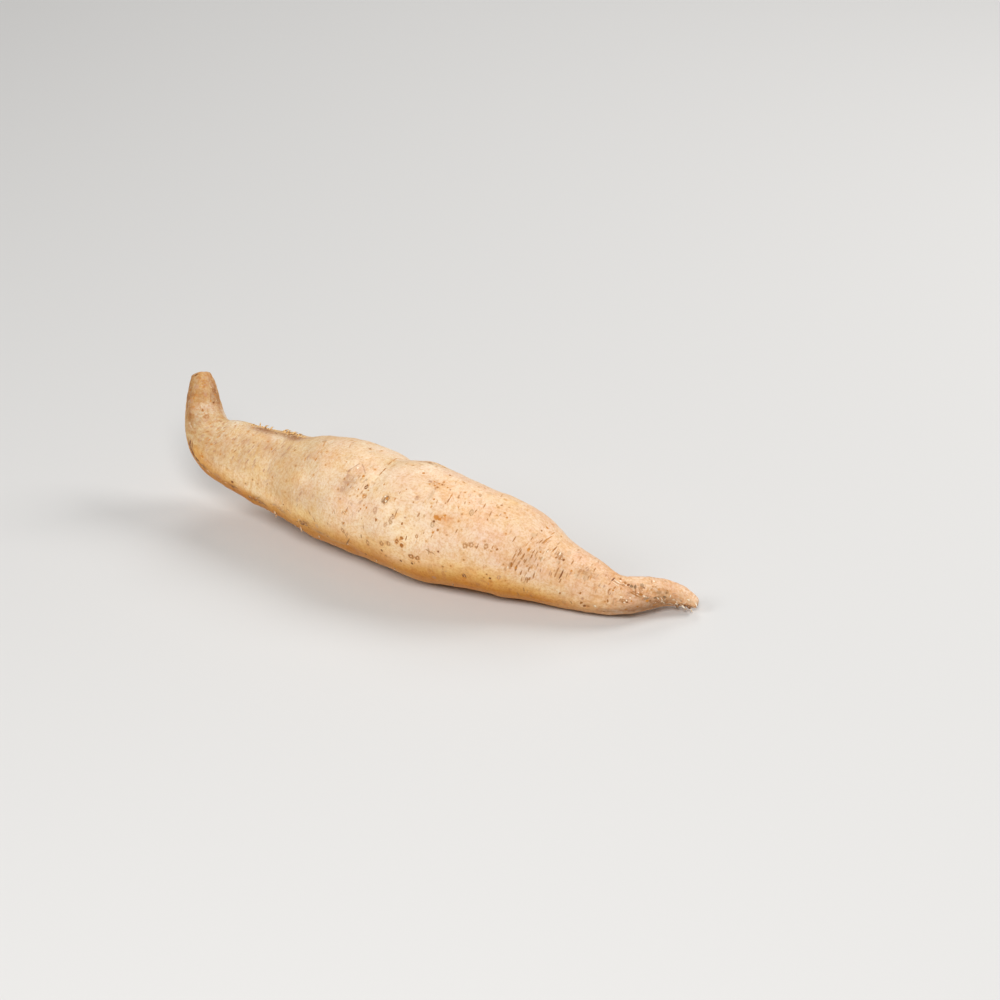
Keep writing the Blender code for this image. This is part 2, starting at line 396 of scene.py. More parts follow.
# Marks by the pixel of the photograph that they are on: kind, ink, pixels across and down, then the size
# round the root and along it in millimetres
MARKS = (
    ("ring", "umber", 385.6, 499.8, 4.6, 3.4),
    ("patch", "dusk", 383.5, 500.6, 2.4, 1.2),
    ("spot", "rust", 387, 498.4, 1.4, 1.1),
    ("fleck", "chalk", 386, 501.4, 1.0, 0.7),
    ("fleck", "straw", 385.4, 496.4, 0.9, 1.0),
    ("spot", "brown", 384.4, 503, 0.8, 0.7),
    ("eye", "umber", 366.2, 487, 2.4, 1.7),
    ("eye", "rust", 364.5, 496.2, 2.6, 2.3),
    ("patch", "mauve", 360.4, 502, 2.2, 1.2),
    ("spot", "rust", 363.4, 476.2, 1.4, 1.3),
    ("patch", "mauve", 361, 479.3, 1.6, 0.9),
    ("fleck", "chalk", 357.8, 467.8, 1.0, 0.9),
    ("spot", "rust", 358.3, 489.3, 0.8, 0.7),
    ("fleck", "chalk", 356.9, 489.5, 0.6, 0.5),
    ("spot", "rust", 368.3, 490.3, 0.7, 0.8),
    ("patch", "mauve", 348, 476, 2.2, 1.6),
    ("patch", "mauve", 346, 482, 1.4, 3.0),
    ("patch", "mauve", 341.5, 489, 2.6, 1.4),
    ("spot", "mauve", 349, 471, 1.2, 1.0),
    ("spot", "brown", 370, 448.5, 1.2, 1.2),
    ("fleck", "chalk", 370, 451, 0.6, 1.0),
    ("patch", "grey", 346.3, 457.8, 1.2, 2.2),
    ("spot", "rust", 346.5, 461.7, 0.7, 0.8),
    ("stain", "rust", 392, 461, 3.0, 2.0),
    ("spot", "rust", 363.9, 505.4, 0.8, 0.7),
    ("spot", "rust", 366.3, 507.6, 1.2, 0.8),
    ("spot", "rust", 360.4, 508.9, 0.8, 0.7),
    ("ring", "mauve", 375, 510.3, 3.0, 2.4),
    ("spot", "rust", 384.1, 484.5, 1.1, 0.6),
    ("patch", "grey", 395.6, 511, 1.8, 1.0),
    ("spot", "umber", 392.6, 514.7, 0.7, 0.6),
    ("ring", "brown", 393, 517.2, 1.9, 1.6),
    ("ring", "olive", 390.6, 521.9, 2.3, 1.6),
    ("stain", "rust", 396.8, 514.5, 2.6, 1.0),
    ("ring", "mauve", 385.5, 524.7, 2.2, 1.8),
    ("spot", "brown", 375.9, 519.9, 1.5, 1.2),
    ("stain", "rust", 377.3, 520.4, 1.2, 1.2),
    ("spot", "brown", 402, 523.5, 1.3, 1.0),
    ("spot", "mauve", 405, 517.5, 0.8, 0.7),
    ("patch", "grey", 343.8, 524.3, 2.6, 1.8),
    ("ring", "brown", 342.8, 530.6, 2.8, 2.0),
    ("ring", "grey", 317, 526, 2.2, 2.0),
    ("spot", "umber", 297.2, 521.5, 0.8, 0.7),
    ("spot", "brown", 308.6, 527.4, 0.8, 0.7),
    ("spot", "brown", 283.5, 504.5, 0.8, 0.7),
    ("fleck", "chalk", 347.8, 544.2, 0.9, 0.5),
    ("ring", "brown", 368, 543, 3.0, 2.2),
    ("ring", "brown", 381.5, 543.4, 2.6, 2.6),
    ("ring", "brown", 388.3, 543.6, 2.6, 2.6),
    ("spot", "umber", 381.8, 550.3, 1.2, 1.2),
    ("spot", "umber", 366, 554, 1.0, 1.0),
    ("eye", "brown", 396.8, 541.3, 2.4, 2.0),
    ("spot", "brown", 401.5, 538.2, 1.6, 1.6),
    ("spot", "brown", 401.8, 545.4, 1.9, 1.7),
    ("stain", "rust", 399.5, 541.8, 4.4, 4.0),
    ("ring", "brown", 416.6, 536.3, 1.9, 1.4),
    ("eye", "brown", 410.9, 556.8, 2.3, 2.6),
    ("eye", "brown", 417, 558.2, 2.3, 2.4),
    ("spot", "umber", 412, 563.6, 1.2, 1.1),
    ("spot", "umber", 400.8, 560.8, 1.1, 1.1),
    ("patch", "olive", 428.6, 551, 3.0, 1.0),
    ("spot", "umber", 438.1, 551.8, 0.9, 0.9),
    ("patch", "rust", 429.4, 570.7, 3.6, 1.5),
    ("patch", "rust", 443.5, 573.6, 3.2, 1.5),
    ("ring", "mauve", 434, 577.5, 2.2, 2.0),
    ("spot", "rust", 423.6, 473, 1.3, 1.2),
    ("fleck", "chalk", 423.4, 471, 0.6, 1.0),
    ("spot", "brown", 450.1, 475.3, 1.0, 1.3),
    ("spot", "mauve", 430.5, 481.5, 1.2, 1.6),
    ("spot", "rust", 429.6, 484, 0.9, 0.9),
    ("spot", "rust", 434.9, 485.4, 1.0, 0.9),
    ("spot", "brown", 437.7, 487.2, 1.2, 1.0),
    ("spot", "rust", 439.1, 483.4, 0.8, 1.0),
    ("spot", "brown", 442.4, 484.5, 1.0, 0.9),
    ("spot", "rust", 444.3, 481.8, 0.9, 0.9),
    ("spot", "rust", 434.6, 481.3, 0.7, 0.8),
    ("spot", "rust", 447.7, 487.6, 0.9, 0.8),
    ("spot", "mauve", 450.4, 489.6, 0.9, 0.8),
    ("patch", "mauve", 417, 497.7, 2.4, 2.0),
    ("spot", "rust", 406.4, 489, 0.7, 0.7),
    ("patch", "grey", 431.6, 495.5, 5.0, 1.2),
    ("spot", "rust", 434, 499.4, 0.9, 0.9),
    ("spot", "rust", 436.2, 517.4, 2.0, 2.2),
    ("spot", "rust", 439.4, 519.2, 1.3, 1.6),
    ("stain", "rust", 445, 519.5, 4.0, 6.0),
    ("spot", "rust", 444.9, 515.4, 1.1, 1.2),
    ("spot", "umber", 433.9, 521.4, 1.0, 1.1),
    ("scar", "olive", 432.5, 524.6, 2.8, 1.9),
    ("spot", "brown", 437.6, 530, 1.2, 1.1),
    ("spot", "rust", 432.8, 532.6, 1.0, 1.0),
    ("scar", "olive", 471.6, 512.6, 3.4, 1.9),
    ("patch", "olive", 480.4, 495.6, 2.0, 1.4),
    ("patch", "grey", 490, 493.5, 1.6, 4.0),
    ("ring", "grey", 480.4, 501.9, 2.4, 1.8),
    ("spot", "rust", 469.7, 502.7, 0.7, 0.7),
    ("spot", "brown", 501.6, 505.2, 1.0, 1.1),
    ("spot", "rust", 504.9, 513, 0.9, 0.9),
    ("spot", "rust", 507, 517.6, 0.9, 0.9),
    ("ring", "grey", 493.3, 520.5, 2.0, 1.6),
    ("patch", "brown", 423.3, 461.8, 0.8, 3.0),
    ("patch", "olive", 430.5, 463.4, 0.9, 3.2),
    ("spot", "umber", 429.5, 462.9, 0.5, 0.8),
    ("ring", "brown", 465, 545.8, 2.6, 2.4),
    ("ring", "brown", 471.3, 544.8, 2.4, 2.4),
    ("ring", "brown", 485.8, 546.6, 2.8, 1.9),
    ("spot", "brown", 497, 549.5, 1.1, 1.0),
    ("spot", "rust", 528.6, 549.5, 1.8, 1.2),
    ("spot", "rust", 547.2, 527.7, 1.1, 1.6),
    ("spot", "brown", 541.8, 530.6, 0.9, 0.8),
    ("patch", "grey", 533.5, 535, 2.4, 2.4),
    ("spot", "rust", 540.7, 552, 0.8, 0.8),
    ("patch", "olive", 541.2, 559, 2.2, 1.0),
    ("eye", "rust", 532, 567, 1.4, 1.2),
    ("scar", "brown", 510.6, 565.6, 3.2, 1.6),
    ("spot", "brown", 511.4, 565, 2.2, 1.1),
    ("spot", "rust", 515.8, 567.6, 1.2, 1.0),
    ("fleck", "straw", 508, 567.2, 0.8, 0.6),
    ("scar", "brown", 560.5, 556, 3.8, 3.0),
    ("fleck", "chalk", 560, 553.6, 1.4, 0.6),
    ("fleck", "chalk", 561.7, 558.3, 1.5, 0.6),
    ("spot", "brown", 556.2, 557.5, 1.1, 0.8),
    ("spot", "umber", 563.5, 560, 1.2, 1.0),
    ("patch", "grey", 557.8, 562, 1.4, 1.2),
    ("ring", "grey", 569.3, 553, 2.0, 2.0),
    ("patch", "brown", 580, 571, 2.4, 1.2),
    ("patch", "grey", 577.5, 576.4, 1.8, 3.0),
    ("patch", "grey", 585, 577.5, 1.6, 3.0),
    ("spot", "rust", 571.5, 571, 1.0, 0.9),
    ("spot", "umber", 584.6, 605.5, 1.4, 1.3),
    ("spot", "brown", 581.2, 602.8, 1.5, 1.3),
    ("spot", "mauve", 582.5, 598.5, 1.2, 1.0),
    ("ring", "grey", 595.4, 606.6, 1.6, 2.4),
    ("fleck", "chalk", 595.3, 606, 0.8, 1.0),
    ("spot", "brown", 560, 593.2, 1.3, 0.7),
    ("spot", "brown", 580.4, 593.2, 1.3, 0.7),
    ("spot", "brown", 607.7, 600.9, 1.4, 0.8),
    ("spot", "brown", 620.5, 579, 1.3, 1.0),
    ("fleck", "chalk", 620.7, 580.8, 0.7, 0.9),
    ("spot", "brown", 625.3, 583, 1.2, 1.2),
    ("spot", "umber", 628.5, 584.9, 1.5, 1.2),
    ("spot", "dusk", 631.6, 586, 1.5, 1.6),
    ("spot", "dusk", 635.2, 586.6, 1.8, 1.2),
    ("spot", "brown", 629.5, 589.5, 1.2, 1.2),
    ("patch", "dusk", 632.4, 589.8, 2.2, 2.2),
    ("spot", "umber", 636.2, 592, 1.6, 1.5),
    ("spot", "dusk", 633, 592.6, 1.4, 1.8),
    ("spot", "dusk", 637, 595.4, 1.2, 1.8),
    ("spot", "brown", 641, 594.6, 1.2, 1.7),
    ("patch", "dusk", 642, 585.4, 2.0, 2.0),
    ("patch", "olive", 640.4, 597.2, 1.2, 2.0),
    ("patch", "dusk", 646, 598.4, 1.2, 2.4),
    ("spot", "dusk", 655.6, 598, 1.1, 1.4),
    ("spot", "dusk", 659.4, 596, 1.8, 1.2),
    ("spot", "umber", 660.6, 600.2, 2.0, 1.4),
    ("patch", "dusk", 666, 601, 2.6, 3.0),
    ("spot", "dusk", 664.4, 597.2, 1.2, 1.7),
    ("spot", "brown", 651.4, 601.6, 0.9, 2.4),
    ("patch", "grey", 668, 602, 1.8, 3.6),
    ("fleck", "chalk", 644.3, 596.2, 0.6, 1.0),
    ("spot", "umber", 644, 598.6, 1.1, 1.3),
    ("spot", "rust", 647, 600.7, 1.1, 1.4),
    ("spot", "brown", 653.6, 599.6, 1.1, 1.2),
    ("spot", "rust", 613.2, 590.4, 0.8, 0.8),
    ("ring", "brown", 623.5, 601, 2.0, 2.4),
    ("spot", "umber", 627, 602.2, 0.8, 1.0),
    ("fleck", "chalk", 626.4, 600.3, 0.7, 0.7),
    ("fleck", "chalk", 624.2, 602.3, 0.5, 0.7),
    ("spot", "rust", 631.4, 601.1, 0.8, 0.8),
    ("spot", "brown", 637.3, 606.5, 0.9, 1.1),
    ("spot", "brown", 626, 609.4, 0.9, 1.4),
    ("spot", "umber", 603.8, 611.7, 0.8, 1.2),
    ("fleck", "chalk", 654, 581.2, 0.8, 1.0),
    ("patch", "brown", 642, 587.5, 1.6, 1.8),
    ("patch", "olive", 659, 592.5, 1.8, 2.4),
    ("spot", "umber", 666.4, 593, 0.9, 1.3),
    ("spot", "brown", 665.5, 580.9, 0.8, 0.9),
    ("spot", "rust", 667.2, 590.7, 0.7, 0.9),
    ("patch", "olive", 667, 592.2, 1.6, 1.8),
    ("fleck", "chalk", 667.4, 597.6, 0.5, 1.2),
    ("fleck", "chalk", 670.3, 596, 1.3, 0.5),
    ("spot", "brown", 671, 598.7, 1.0, 1.2),
    ("fleck", "chalk", 676.3, 603.6, 0.8, 1.0),
    ("spot", "umber", 677, 605.2, 1.6, 1.9),
    ("fleck", "chalk", 688.4, 599.8, 0.5, 1.2),
    ("spot", "umber", 689.4, 606.4, 1.3, 2.0),
    ("fleck", "chalk", 687.6, 605.8, 0.8, 0.5),
    ("patch", "grey", 690.6, 602.3, 1.4, 1.6),
    ("eye", "umber", 464.5, 576, 2.6, 2.0),
    ("spot", "rust", 464.8, 578, 1.0, 2.0),
    ("spot", "umber", 490, 578.5, 1.2, 1.0),
    ("spot", "brown", 486.6, 574.4, 0.8, 0.8),
    ("patch", "rust", 483.7, 581.5, 1.2, 3.4),
    ("ring", "mauve", 498.7, 577.3, 2.2, 1.8),
    ("patch", "olive", 190, 391.5, 2.8, 3.6),
    ("patch", "brown", 192.4, 394.4, 2.0, 2.4),
    ("spot", "brown", 190.6, 389.6, 1.4, 1.2),
    ("patch", "mauve", 191, 401, 2.6, 2.2),
    ("patch", "mauve", 196.4, 387, 2.2, 2.0),
    ("spot", "rust", 194, 398.3, 0.8, 0.7),
    ("patch", "brown", 215.3, 389.6, 2.2, 3.4),
    ("patch", "mauve", 212.6, 385.6, 1.8, 2.6),
    ("patch", "brown", 216.4, 396.4, 1.6, 3.0),
    ("patch", "mauve", 205.6, 394.6, 1.6, 2.0),
    ("spot", "rust", 215, 394.6, 0.8, 0.7),
    ("spot", "rust", 210.7, 401, 0.9, 0.8),
    ("spot", "umber", 213.6, 402.6, 0.9, 0.9),
    ("spot", "rust", 207.6, 374.2, 0.9, 0.7),
    ("spot", "brown", 202.6, 410.3, 1.0, 1.3),
    ("ring", "brown", 206.6, 416.8, 3.2, 2.2),
    ("spot", "brown", 235.3, 425.7, 0.8, 0.8),
    ("patch", "olive", 191, 446, 3.4, 1.4),
    ("spot", "rust", 202.6, 456.7, 1.2, 1.4),
    ("spot", "rust", 271.4, 449.2, 1.2, 0.8),
    ("spot", "umber", 232.4, 482, 1.4, 1.2),
)

# Fine lines by the pixels of the photograph that they run between: ink, strength, width in millimetres,
# then pixels across and down at either end
STROKES = (
    ("umber", 1.0, 0.9, 194.3, 375.8, 197.6, 373.8),
    ("brown", 0.8, 0.6, 211, 393, 210.8, 399.5),
    ("brown", 0.5, 0.5, 203, 396, 203.5, 399),
    ("mauve", 0.8, 0.5, 198, 423, 200.5, 420.5),
    ("mauve", 0.6, 0.5, 216.5, 417.4, 218.5, 415.4),
    ("brown", 0.7, 0.5, 222, 424, 225.5, 422),
    ("brown", 0.8, 0.6, 223.2, 428.3, 226.7, 426.2),
    ("brown", 0.7, 0.5, 214.4, 444.5, 217, 442.5),
    ("rust", 0.7, 0.6, 231, 451, 233.5, 449),
    ("brown", 0.7, 0.6, 233.3, 452.6, 236.5, 449.6),
    ("umber", 1.0, 1.1, 190.8, 440.6, 189.4, 445),
    ("umber", 1.0, 1.1, 189.4, 445, 191.4, 450.5),
    ("umber", 1.0, 1.2, 191.8, 450.8, 195.2, 457),
    ("umber", 1.0, 1.1, 195.6, 457.4, 199, 461.2),
    ("brown", 1.0, 0.8, 192.4, 441.6, 193, 449),
    ("rust", 0.7, 0.7, 198.8, 453, 200.7, 459.5),
    ("rust", 0.7, 0.8, 206.5, 459.5, 210.5, 464),
    ("brown", 0.7, 0.7, 203, 464, 206, 468.5),
    ("mauve", 0.7, 0.6, 216, 474, 221, 478),
    ("brown", 0.6, 0.6, 226, 481, 231, 485),
    ("brown", 0.8, 0.6, 265, 428.3, 271, 429.6),
    ("brown", 0.8, 0.6, 271, 429.7, 277, 431),
    ("mauve", 0.7, 0.5, 255, 434, 258, 432),
    ("mauve", 0.7, 0.5, 247, 441, 250.5, 438.5),
    ("mauve", 0.8, 0.6, 264, 449.5, 267, 446.5),
    ("mauve", 0.9, 0.6, 271, 453, 277, 447),
    ("mauve", 0.6, 0.5, 280, 446, 284, 442.5),
    ("mauve", 0.6, 0.5, 287, 449, 291, 445.5),
    ("mauve", 0.5, 0.5, 256, 446, 259.5, 442.5),
    ("mauve", 0.5, 0.5, 283, 456, 287, 452),
    ("mauve", 0.5, 0.5, 243, 451, 246, 447.5),
    ("mauve", 0.5, 0.5, 262, 458, 265, 454),
    ("mauve", 0.5, 0.5, 273, 462, 276, 458),
    ("mauve", 0.5, 0.5, 252, 457, 255, 453),
    ("brown", 0.6, 0.5, 296.8, 506.5, 297.3, 503.8),
    ("brown", 0.8, 0.6, 308.5, 510.5, 310.3, 515),
    ("olive", 0.8, 0.7, 303, 521, 306.5, 525.3),
    ("brown", 0.8, 0.6, 313, 517, 315, 522),
    ("mauve", 0.6, 0.7, 272, 503.8, 277, 505),
    ("brown", 0.6, 0.6, 286.5, 509, 290, 511.4),
    ("brown", 0.6, 0.5, 334, 510, 334.6, 514),
    ("brown", 0.8, 0.5, 344.6, 511, 346, 512.8),
    ("rust", 0.8, 0.5, 342.6, 511, 345.2, 514.6),
    ("rust", 0.7, 0.5, 332.4, 513.6, 333.4, 509.8),
    ("rust", 0.8, 0.5, 323.2, 446.6, 324.4, 443),
    ("rust", 0.8, 0.5, 349.2, 447.8, 350.4, 444.3),
    ("mauve", 0.7, 0.5, 368.2, 452, 372, 452),
    ("mauve", 0.8, 0.5, 347.5, 471.4, 353, 467.4),
    ("mauve", 0.7, 0.5, 353, 467.4, 360, 463.2),
    ("mauve", 0.7, 0.6, 361.8, 463.6, 364, 468.4),
    ("mauve", 0.7, 0.6, 363.8, 468.2, 365.4, 473.6),
    ("mauve", 0.5, 0.6, 347.6, 472, 347, 479),
    ("mauve", 0.5, 0.8, 345, 482.6, 353, 481.4),
    ("mauve", 0.5, 0.6, 341.6, 492.6, 345.6, 486.2),
    ("grey", 0.8, 0.7, 365.6, 479.4, 362, 483.4),
    ("grey", 0.8, 0.6, 369.8, 468, 372.8, 466.2),
    ("brown", 1.0, 0.5, 379.3, 475, 382.6, 471.4),
    ("brown", 1.0, 0.5, 382.8, 471.2, 386.2, 467.8),
    ("chalk", 0.6, 0.4, 382.6, 473.2, 384.4, 471.4),
    ("brown", 0.8, 0.5, 387.6, 465, 392, 461.4),
    ("rust", 0.9, 0.5, 392.2, 461.2, 398, 457.4),
    ("mauve", 0.6, 0.5, 373.4, 485.4, 375.2, 482.6),
    ("brown", 0.8, 0.5, 394.8, 516.4, 397.2, 510.4),
    ("brown", 0.7, 0.5, 388.6, 521.4, 391.4, 515.8),
    ("brown", 0.9, 0.6, 405.4, 540.4, 406.8, 536),
    ("rust", 0.9, 0.8, 348, 540.8, 352.4, 543.8),
    ("umber", 0.7, 0.6, 349.4, 539, 346, 545.2),
    ("brown", 0.7, 0.5, 344, 532, 347.4, 538),
    ("brown", 0.9, 0.5, 425.6, 549, 431.6, 553),
    ("brown", 0.7, 0.5, 431.6, 551.8, 434.4, 554.4),
    ("umber", 1.0, 0.9, 442.2, 466.4, 447, 468.6),
    ("umber", 0.8, 0.6, 438.6, 464.4, 441.8, 465.4),
    ("rust", 0.9, 0.6, 436, 463, 439, 464),
    ("mauve", 0.8, 0.5, 418, 463, 423.4, 464.8),
    ("brown", 0.9, 0.6, 447, 502.8, 449.8, 498.4),
    ("rust", 0.9, 0.6, 450, 498, 452.6, 493.4),
    ("chalk", 0.5, 0.4, 449.4, 501.4, 451.4, 497.8),
    ("brown", 0.8, 0.8, 417.6, 516.8, 419.6, 513),
    ("brown", 0.9, 0.5, 455.6, 532.8, 457.4, 529.4),
    ("brown", 0.9, 0.5, 474.8, 512.4, 476.8, 509.6),
    ("brown", 0.8, 0.5, 489.4, 516.4, 491.6, 511.4),
    ("brown", 0.9, 0.5, 476.2, 548.8, 478.2, 544.6),
    ("rust", 0.8, 0.5, 491.6, 548.8, 493.4, 545.6),
    ("brown", 0.9, 0.5, 512.4, 542, 515.8, 536.6),
    ("brown", 1.0, 0.7, 517.6, 555.8, 521.8, 549.2),
    ("brown", 1.0, 0.6, 522.2, 558, 524.8, 553.2),
    ("brown", 0.9, 0.6, 524.2, 563, 526.4, 559.5),
    ("umber", 0.9, 0.7, 515.5, 570.5, 517, 565.2),
    ("brown", 0.9, 0.6, 520.4, 575, 521.4, 571),
    ("brown", 0.9, 0.6, 533, 578.5, 534.5, 572.7),
    ("brown", 0.9, 0.6, 527, 583, 527.6, 577.2),
    ("brown", 0.8, 0.6, 523.5, 588, 524.2, 591.6),
    ("brown", 0.8, 0.6, 517, 592, 519.6, 596),
    ("brown", 0.8, 0.6, 529.6, 595, 532.2, 596.6),
    ("brown", 0.8, 0.5, 531, 540, 533, 536.6),
    ("brown", 0.9, 0.5, 539, 543, 543, 539.5),
    ("brown", 0.9, 0.5, 542, 543.6, 547.5, 538.6),
    ("rust", 0.9, 0.5, 545.4, 540.4, 552.5, 536),
    ("rust", 0.9, 0.5, 551, 534.6, 554.6, 532.4),
    ("brown", 0.9, 0.5, 532, 553.5, 535, 550),
    ("brown", 0.8, 0.5, 536, 554.2, 537.6, 551),
    ("brown", 0.8, 0.5, 530.4, 558.4, 532.2, 555),
    ("brown", 0.7, 0.5, 535, 561, 536.8, 557.6),
    ("brown", 0.8, 0.5, 537, 566.2, 538.2, 563.8),
    ("brown", 0.7, 0.5, 528.4, 571.4, 529.6, 567.6),
    ("brown", 0.7, 0.5, 540, 572, 541, 568.6),
    ("brown", 1.0, 0.6, 553, 551, 557, 546.6),
    ("brown", 0.7, 0.5, 546, 552.6, 549, 548.8),
    ("rust", 0.7, 0.5, 525.6, 546, 528, 542.8),
    ("mauve", 0.7, 0.5, 577, 552.2, 580.6, 552.6),
    ("mauve", 0.8, 0.5, 549, 576, 550.6, 570.8),
    ("umber", 1.0, 0.7, 559.2, 579, 563.4, 570.2),
    ("brown", 0.9, 0.6, 554.6, 577, 556.2, 572.6),
    ("brown", 0.9, 0.6, 557.2, 571.2, 558.8, 567.8),
    ("brown", 0.9, 0.6, 571.2, 564.4, 573.6, 560.6),
    ("brown", 0.7, 0.5, 565.6, 578, 567.8, 573.4),
    ("brown", 0.8, 0.6, 583, 579.6, 585, 576),
    ("brown", 0.8, 0.6, 587.2, 579.6, 589, 576),
    ("rust", 0.8, 0.5, 590, 579.6, 591.4, 576.2),
    ("brown", 0.9, 0.6, 593.6, 571.2, 595.6, 568),
    ("mauve", 0.7, 0.5, 586, 571.4, 589, 568.4),
    ("mauve", 0.6, 0.5, 596, 577.4, 599, 574),
    ("brown", 0.8, 0.6, 570.6, 601, 572.2, 604),
    ("umber", 1.0, 0.7, 611.8, 580.7, 615, 577.6),
    ("chalk", 0.8, 0.5, 614.5, 579.5, 622, 584.6),
    ("chalk", 0.6, 0.4, 613.2, 582, 619, 586),
    # Painted shade in the crease between the two pale fibre ridges above
    ("brown", 0.9, 0.5, 616, 581.6, 624.2, 586.6),
    ("brown", 0.9, 0.6, 635.6, 585, 635.2, 588.6),
    ("brown", 0.9, 0.7, 630.6, 592.2, 634.6, 594.6),
    ("brown", 0.9, 0.7, 634.8, 594.8, 638.6, 596.6),
    ("grey", 0.8, 0.9, 632.4, 586, 634.6, 591),
    ("rust", 0.7, 0.5, 646, 592.8, 648.6, 588.8),
    ("rust", 0.6, 0.5, 652, 592, 658, 593.4),
    ("olive", 0.9, 0.8, 658.2, 600, 659.4, 596.2),
    ("chalk", 0.8, 0.5, 657.4, 597.6, 659, 599.2),
    ("chalk", 0.6, 0.4, 661, 597.4, 662, 599.6),
    ("brown", 0.8, 0.6, 619.4, 600.6, 621, 598.8),
    ("brown", 0.8, 0.7, 652, 605.4, 658, 603.4),
    ("brown", 0.8, 0.7, 658, 603.2, 663, 602.2),
    ("brown", 0.8, 0.7, 641, 609.4, 648, 608.2),
    ("umber", 0.7, 0.7, 649, 607.8, 656, 606.2),
    ("brown", 0.8, 0.9, 656, 605.6, 663, 604.2),
    ("umber", 0.6, 0.6, 626, 611, 634, 610.4),
    ("straw", 0.8, 0.4, 662.4, 601.4, 665, 603.4),
    ("straw", 0.7, 0.4, 668.4, 603.8, 672.6, 604.2),
    ("dusk", 0.8, 0.5, 664, 603.8, 669, 604.6),
    ("mauve", 0.6, 0.5, 672, 593.8, 676, 593.4),
    ("mauve", 0.5, 0.5, 676, 598, 682, 600.4),
    ("mauve", 0.5, 0.5, 682, 592, 688, 596),
    ("chalk", 0.5, 0.4, 672, 599.6, 676, 600.8),
)

# Fields of short slits: inks, pixels across and down, reach across and down in pixels, how many slits,
# and the pixels across and down that each runs over
SLIT_FIELDS = (
    (("russet", "brown"), 521, 557, 6, 9, 12, 2.6, -5.2),
    (("russet", "rust"), 543, 543, 8, 5, 12, 4.2, -3.8),
    (("russet", "brown"), 527, 578, 6, 9, 12, 1.4, -4.4),
    (("russet", "rust"), 535, 557, 7, 7, 16, 2.2, -3.8),
    (("russet", "brown"), 560, 567, 6, 9, 14, 2.2, -4.2),
    (("russet", "mauve"), 584, 572, 9, 5, 24, 2.4, -3.0),
    (("russet", "mauve"), 608, 586, 10, 7, 14, 2.2, -2.8),
    (("brown", "umber"), 634, 590, 8, 3.5, 22, 2.2, 1.4),
    (("umber", "olive"), 655, 600, 9, 2.0, 22, 2.2, -1.0),
    (("russet", "rust"), 650, 591, 12, 4, 16, 2.4, -1.2),
    (("straw", "chalk"), 644, 597, 14, 3, 18, 1.8, 0.9),
    (("umber", "straw"), 674, 602, 8, 1.6, 18, 2.0, 0.8),
    (("dusk", "dusk"), 633, 590, 5, 4, 16, 1.6, 1.2),
    (("dusk", "straw"), 660, 599, 4, 3, 12, 1.0, 1.8),
    (("mauve", "rose"), 680, 595, 8, 4, 18, 3.4, 2.2),
    (("brown", "mauve"), 652, 605, 9, 1.2, 12, 3.0, -0.9),
    (("straw", "straw"), 584, 572, 8, 4.5, 14, 2.2, -2.6),
    (("straw", "straw"), 540, 552, 10, 8, 12, 2.8, -3.2),
    (("chalk", "straw"), 561, 557, 3, 3, 8, 1.8, 2.2),
    (("brown", "umber"), 256, 498.6, 6, 2.2, 14, 2.0, 1.2),
    (("brown", "umber"), 304, 522.6, 6, 2.0, 12, 1.6, 2.0),
    (("brown", "umber"), 272, 431.6, 12, 2.0, 16, 2.4, 0.8),
    (("brown", "umber"), 294, 436.6, 7, 2.2, 14, 2.4, 0.8),
    (("mauve", "grey"), 284, 449, 9, 5, 20, 3.4, -3.8),
    (("mauve", "grey"), 262, 447, 8, 5, 14, 3.2, -3.6),
    (("mauve", "grey"), 240, 440, 10, 6, 18, 3.4, -2.6),
    (("mauve", "grey"), 245, 458, 12, 7, 20, 2.8, -4.4),
    (("mauve", "grey"), 272, 472, 9, 9, 16, 2.2, -4.4),
    (("mauve", "grey"), 300, 496, 12, 8, 14, 1.6, -4.2),
    (("mauve", "rust"), 218, 428, 9, 7, 18, 3.4, -2.0),
    (("mauve", "rust"), 207, 443, 8, 12, 18, 3.2, -2.0),
    (("mauve", "rust"), 310, 456, 12, 7, 12, 2.2, -4.0),
    (("rust", "mauve"), 346, 506, 14, 12, 10, 1.6, -3.2),
    (("mauve", "russet"), 350, 480, 6, 7, 16, 2.2, -2.4),
    (("rust", "russet"), 440, 484, 7, 3.5, 12, 1.6, -1.4),
    (("rust", "russet"), 424, 512, 24, 24, 16, 1.2, -2.4),
    (("russet", "mauve"), 488, 508, 24, 16, 12, 1.8, -3.2),
    (("brown", "rust"), 190, 392, 2, 9, 16, 0.8, 2.0),
    (("brown", "umber"), 215, 393, 1.6, 7, 16, 0.5, 2.2),
    (("mauve", "rust"), 203, 386, 6, 8, 24, 1.4, 0.8),
    (("mauve", "rust"), 202, 410, 8, 5, 14, 1.8, -0.8),
    (("mauve", "grey"), 230, 428, 12, 6, 16, 3.0, -2.2),
    (("brown", "straw"), 648, 594, 10, 5, 24, 1.8, -0.8),
)
FIELD_SPREAD = 0.6              # how loosely the slits lie in a field, as a share of its reach
SLIT_LENGTHS = (0.4, 1.1)       # shares of the pixels that a field's slits run over
SLIT_STRAY = 0.5                # pixels by which a slit strays from them
SLIT_WIDTHS = (0.45, 0.75)      # millimetres
SLIT_STRENGTHS = (0.35, 0.95)
SLIT_ENDS = 0.4                 # millimetres that its soft ends add to a slit
LONGEST_SLIT = 6 * MM           # a longer one would run over an edge of the root, and is left out

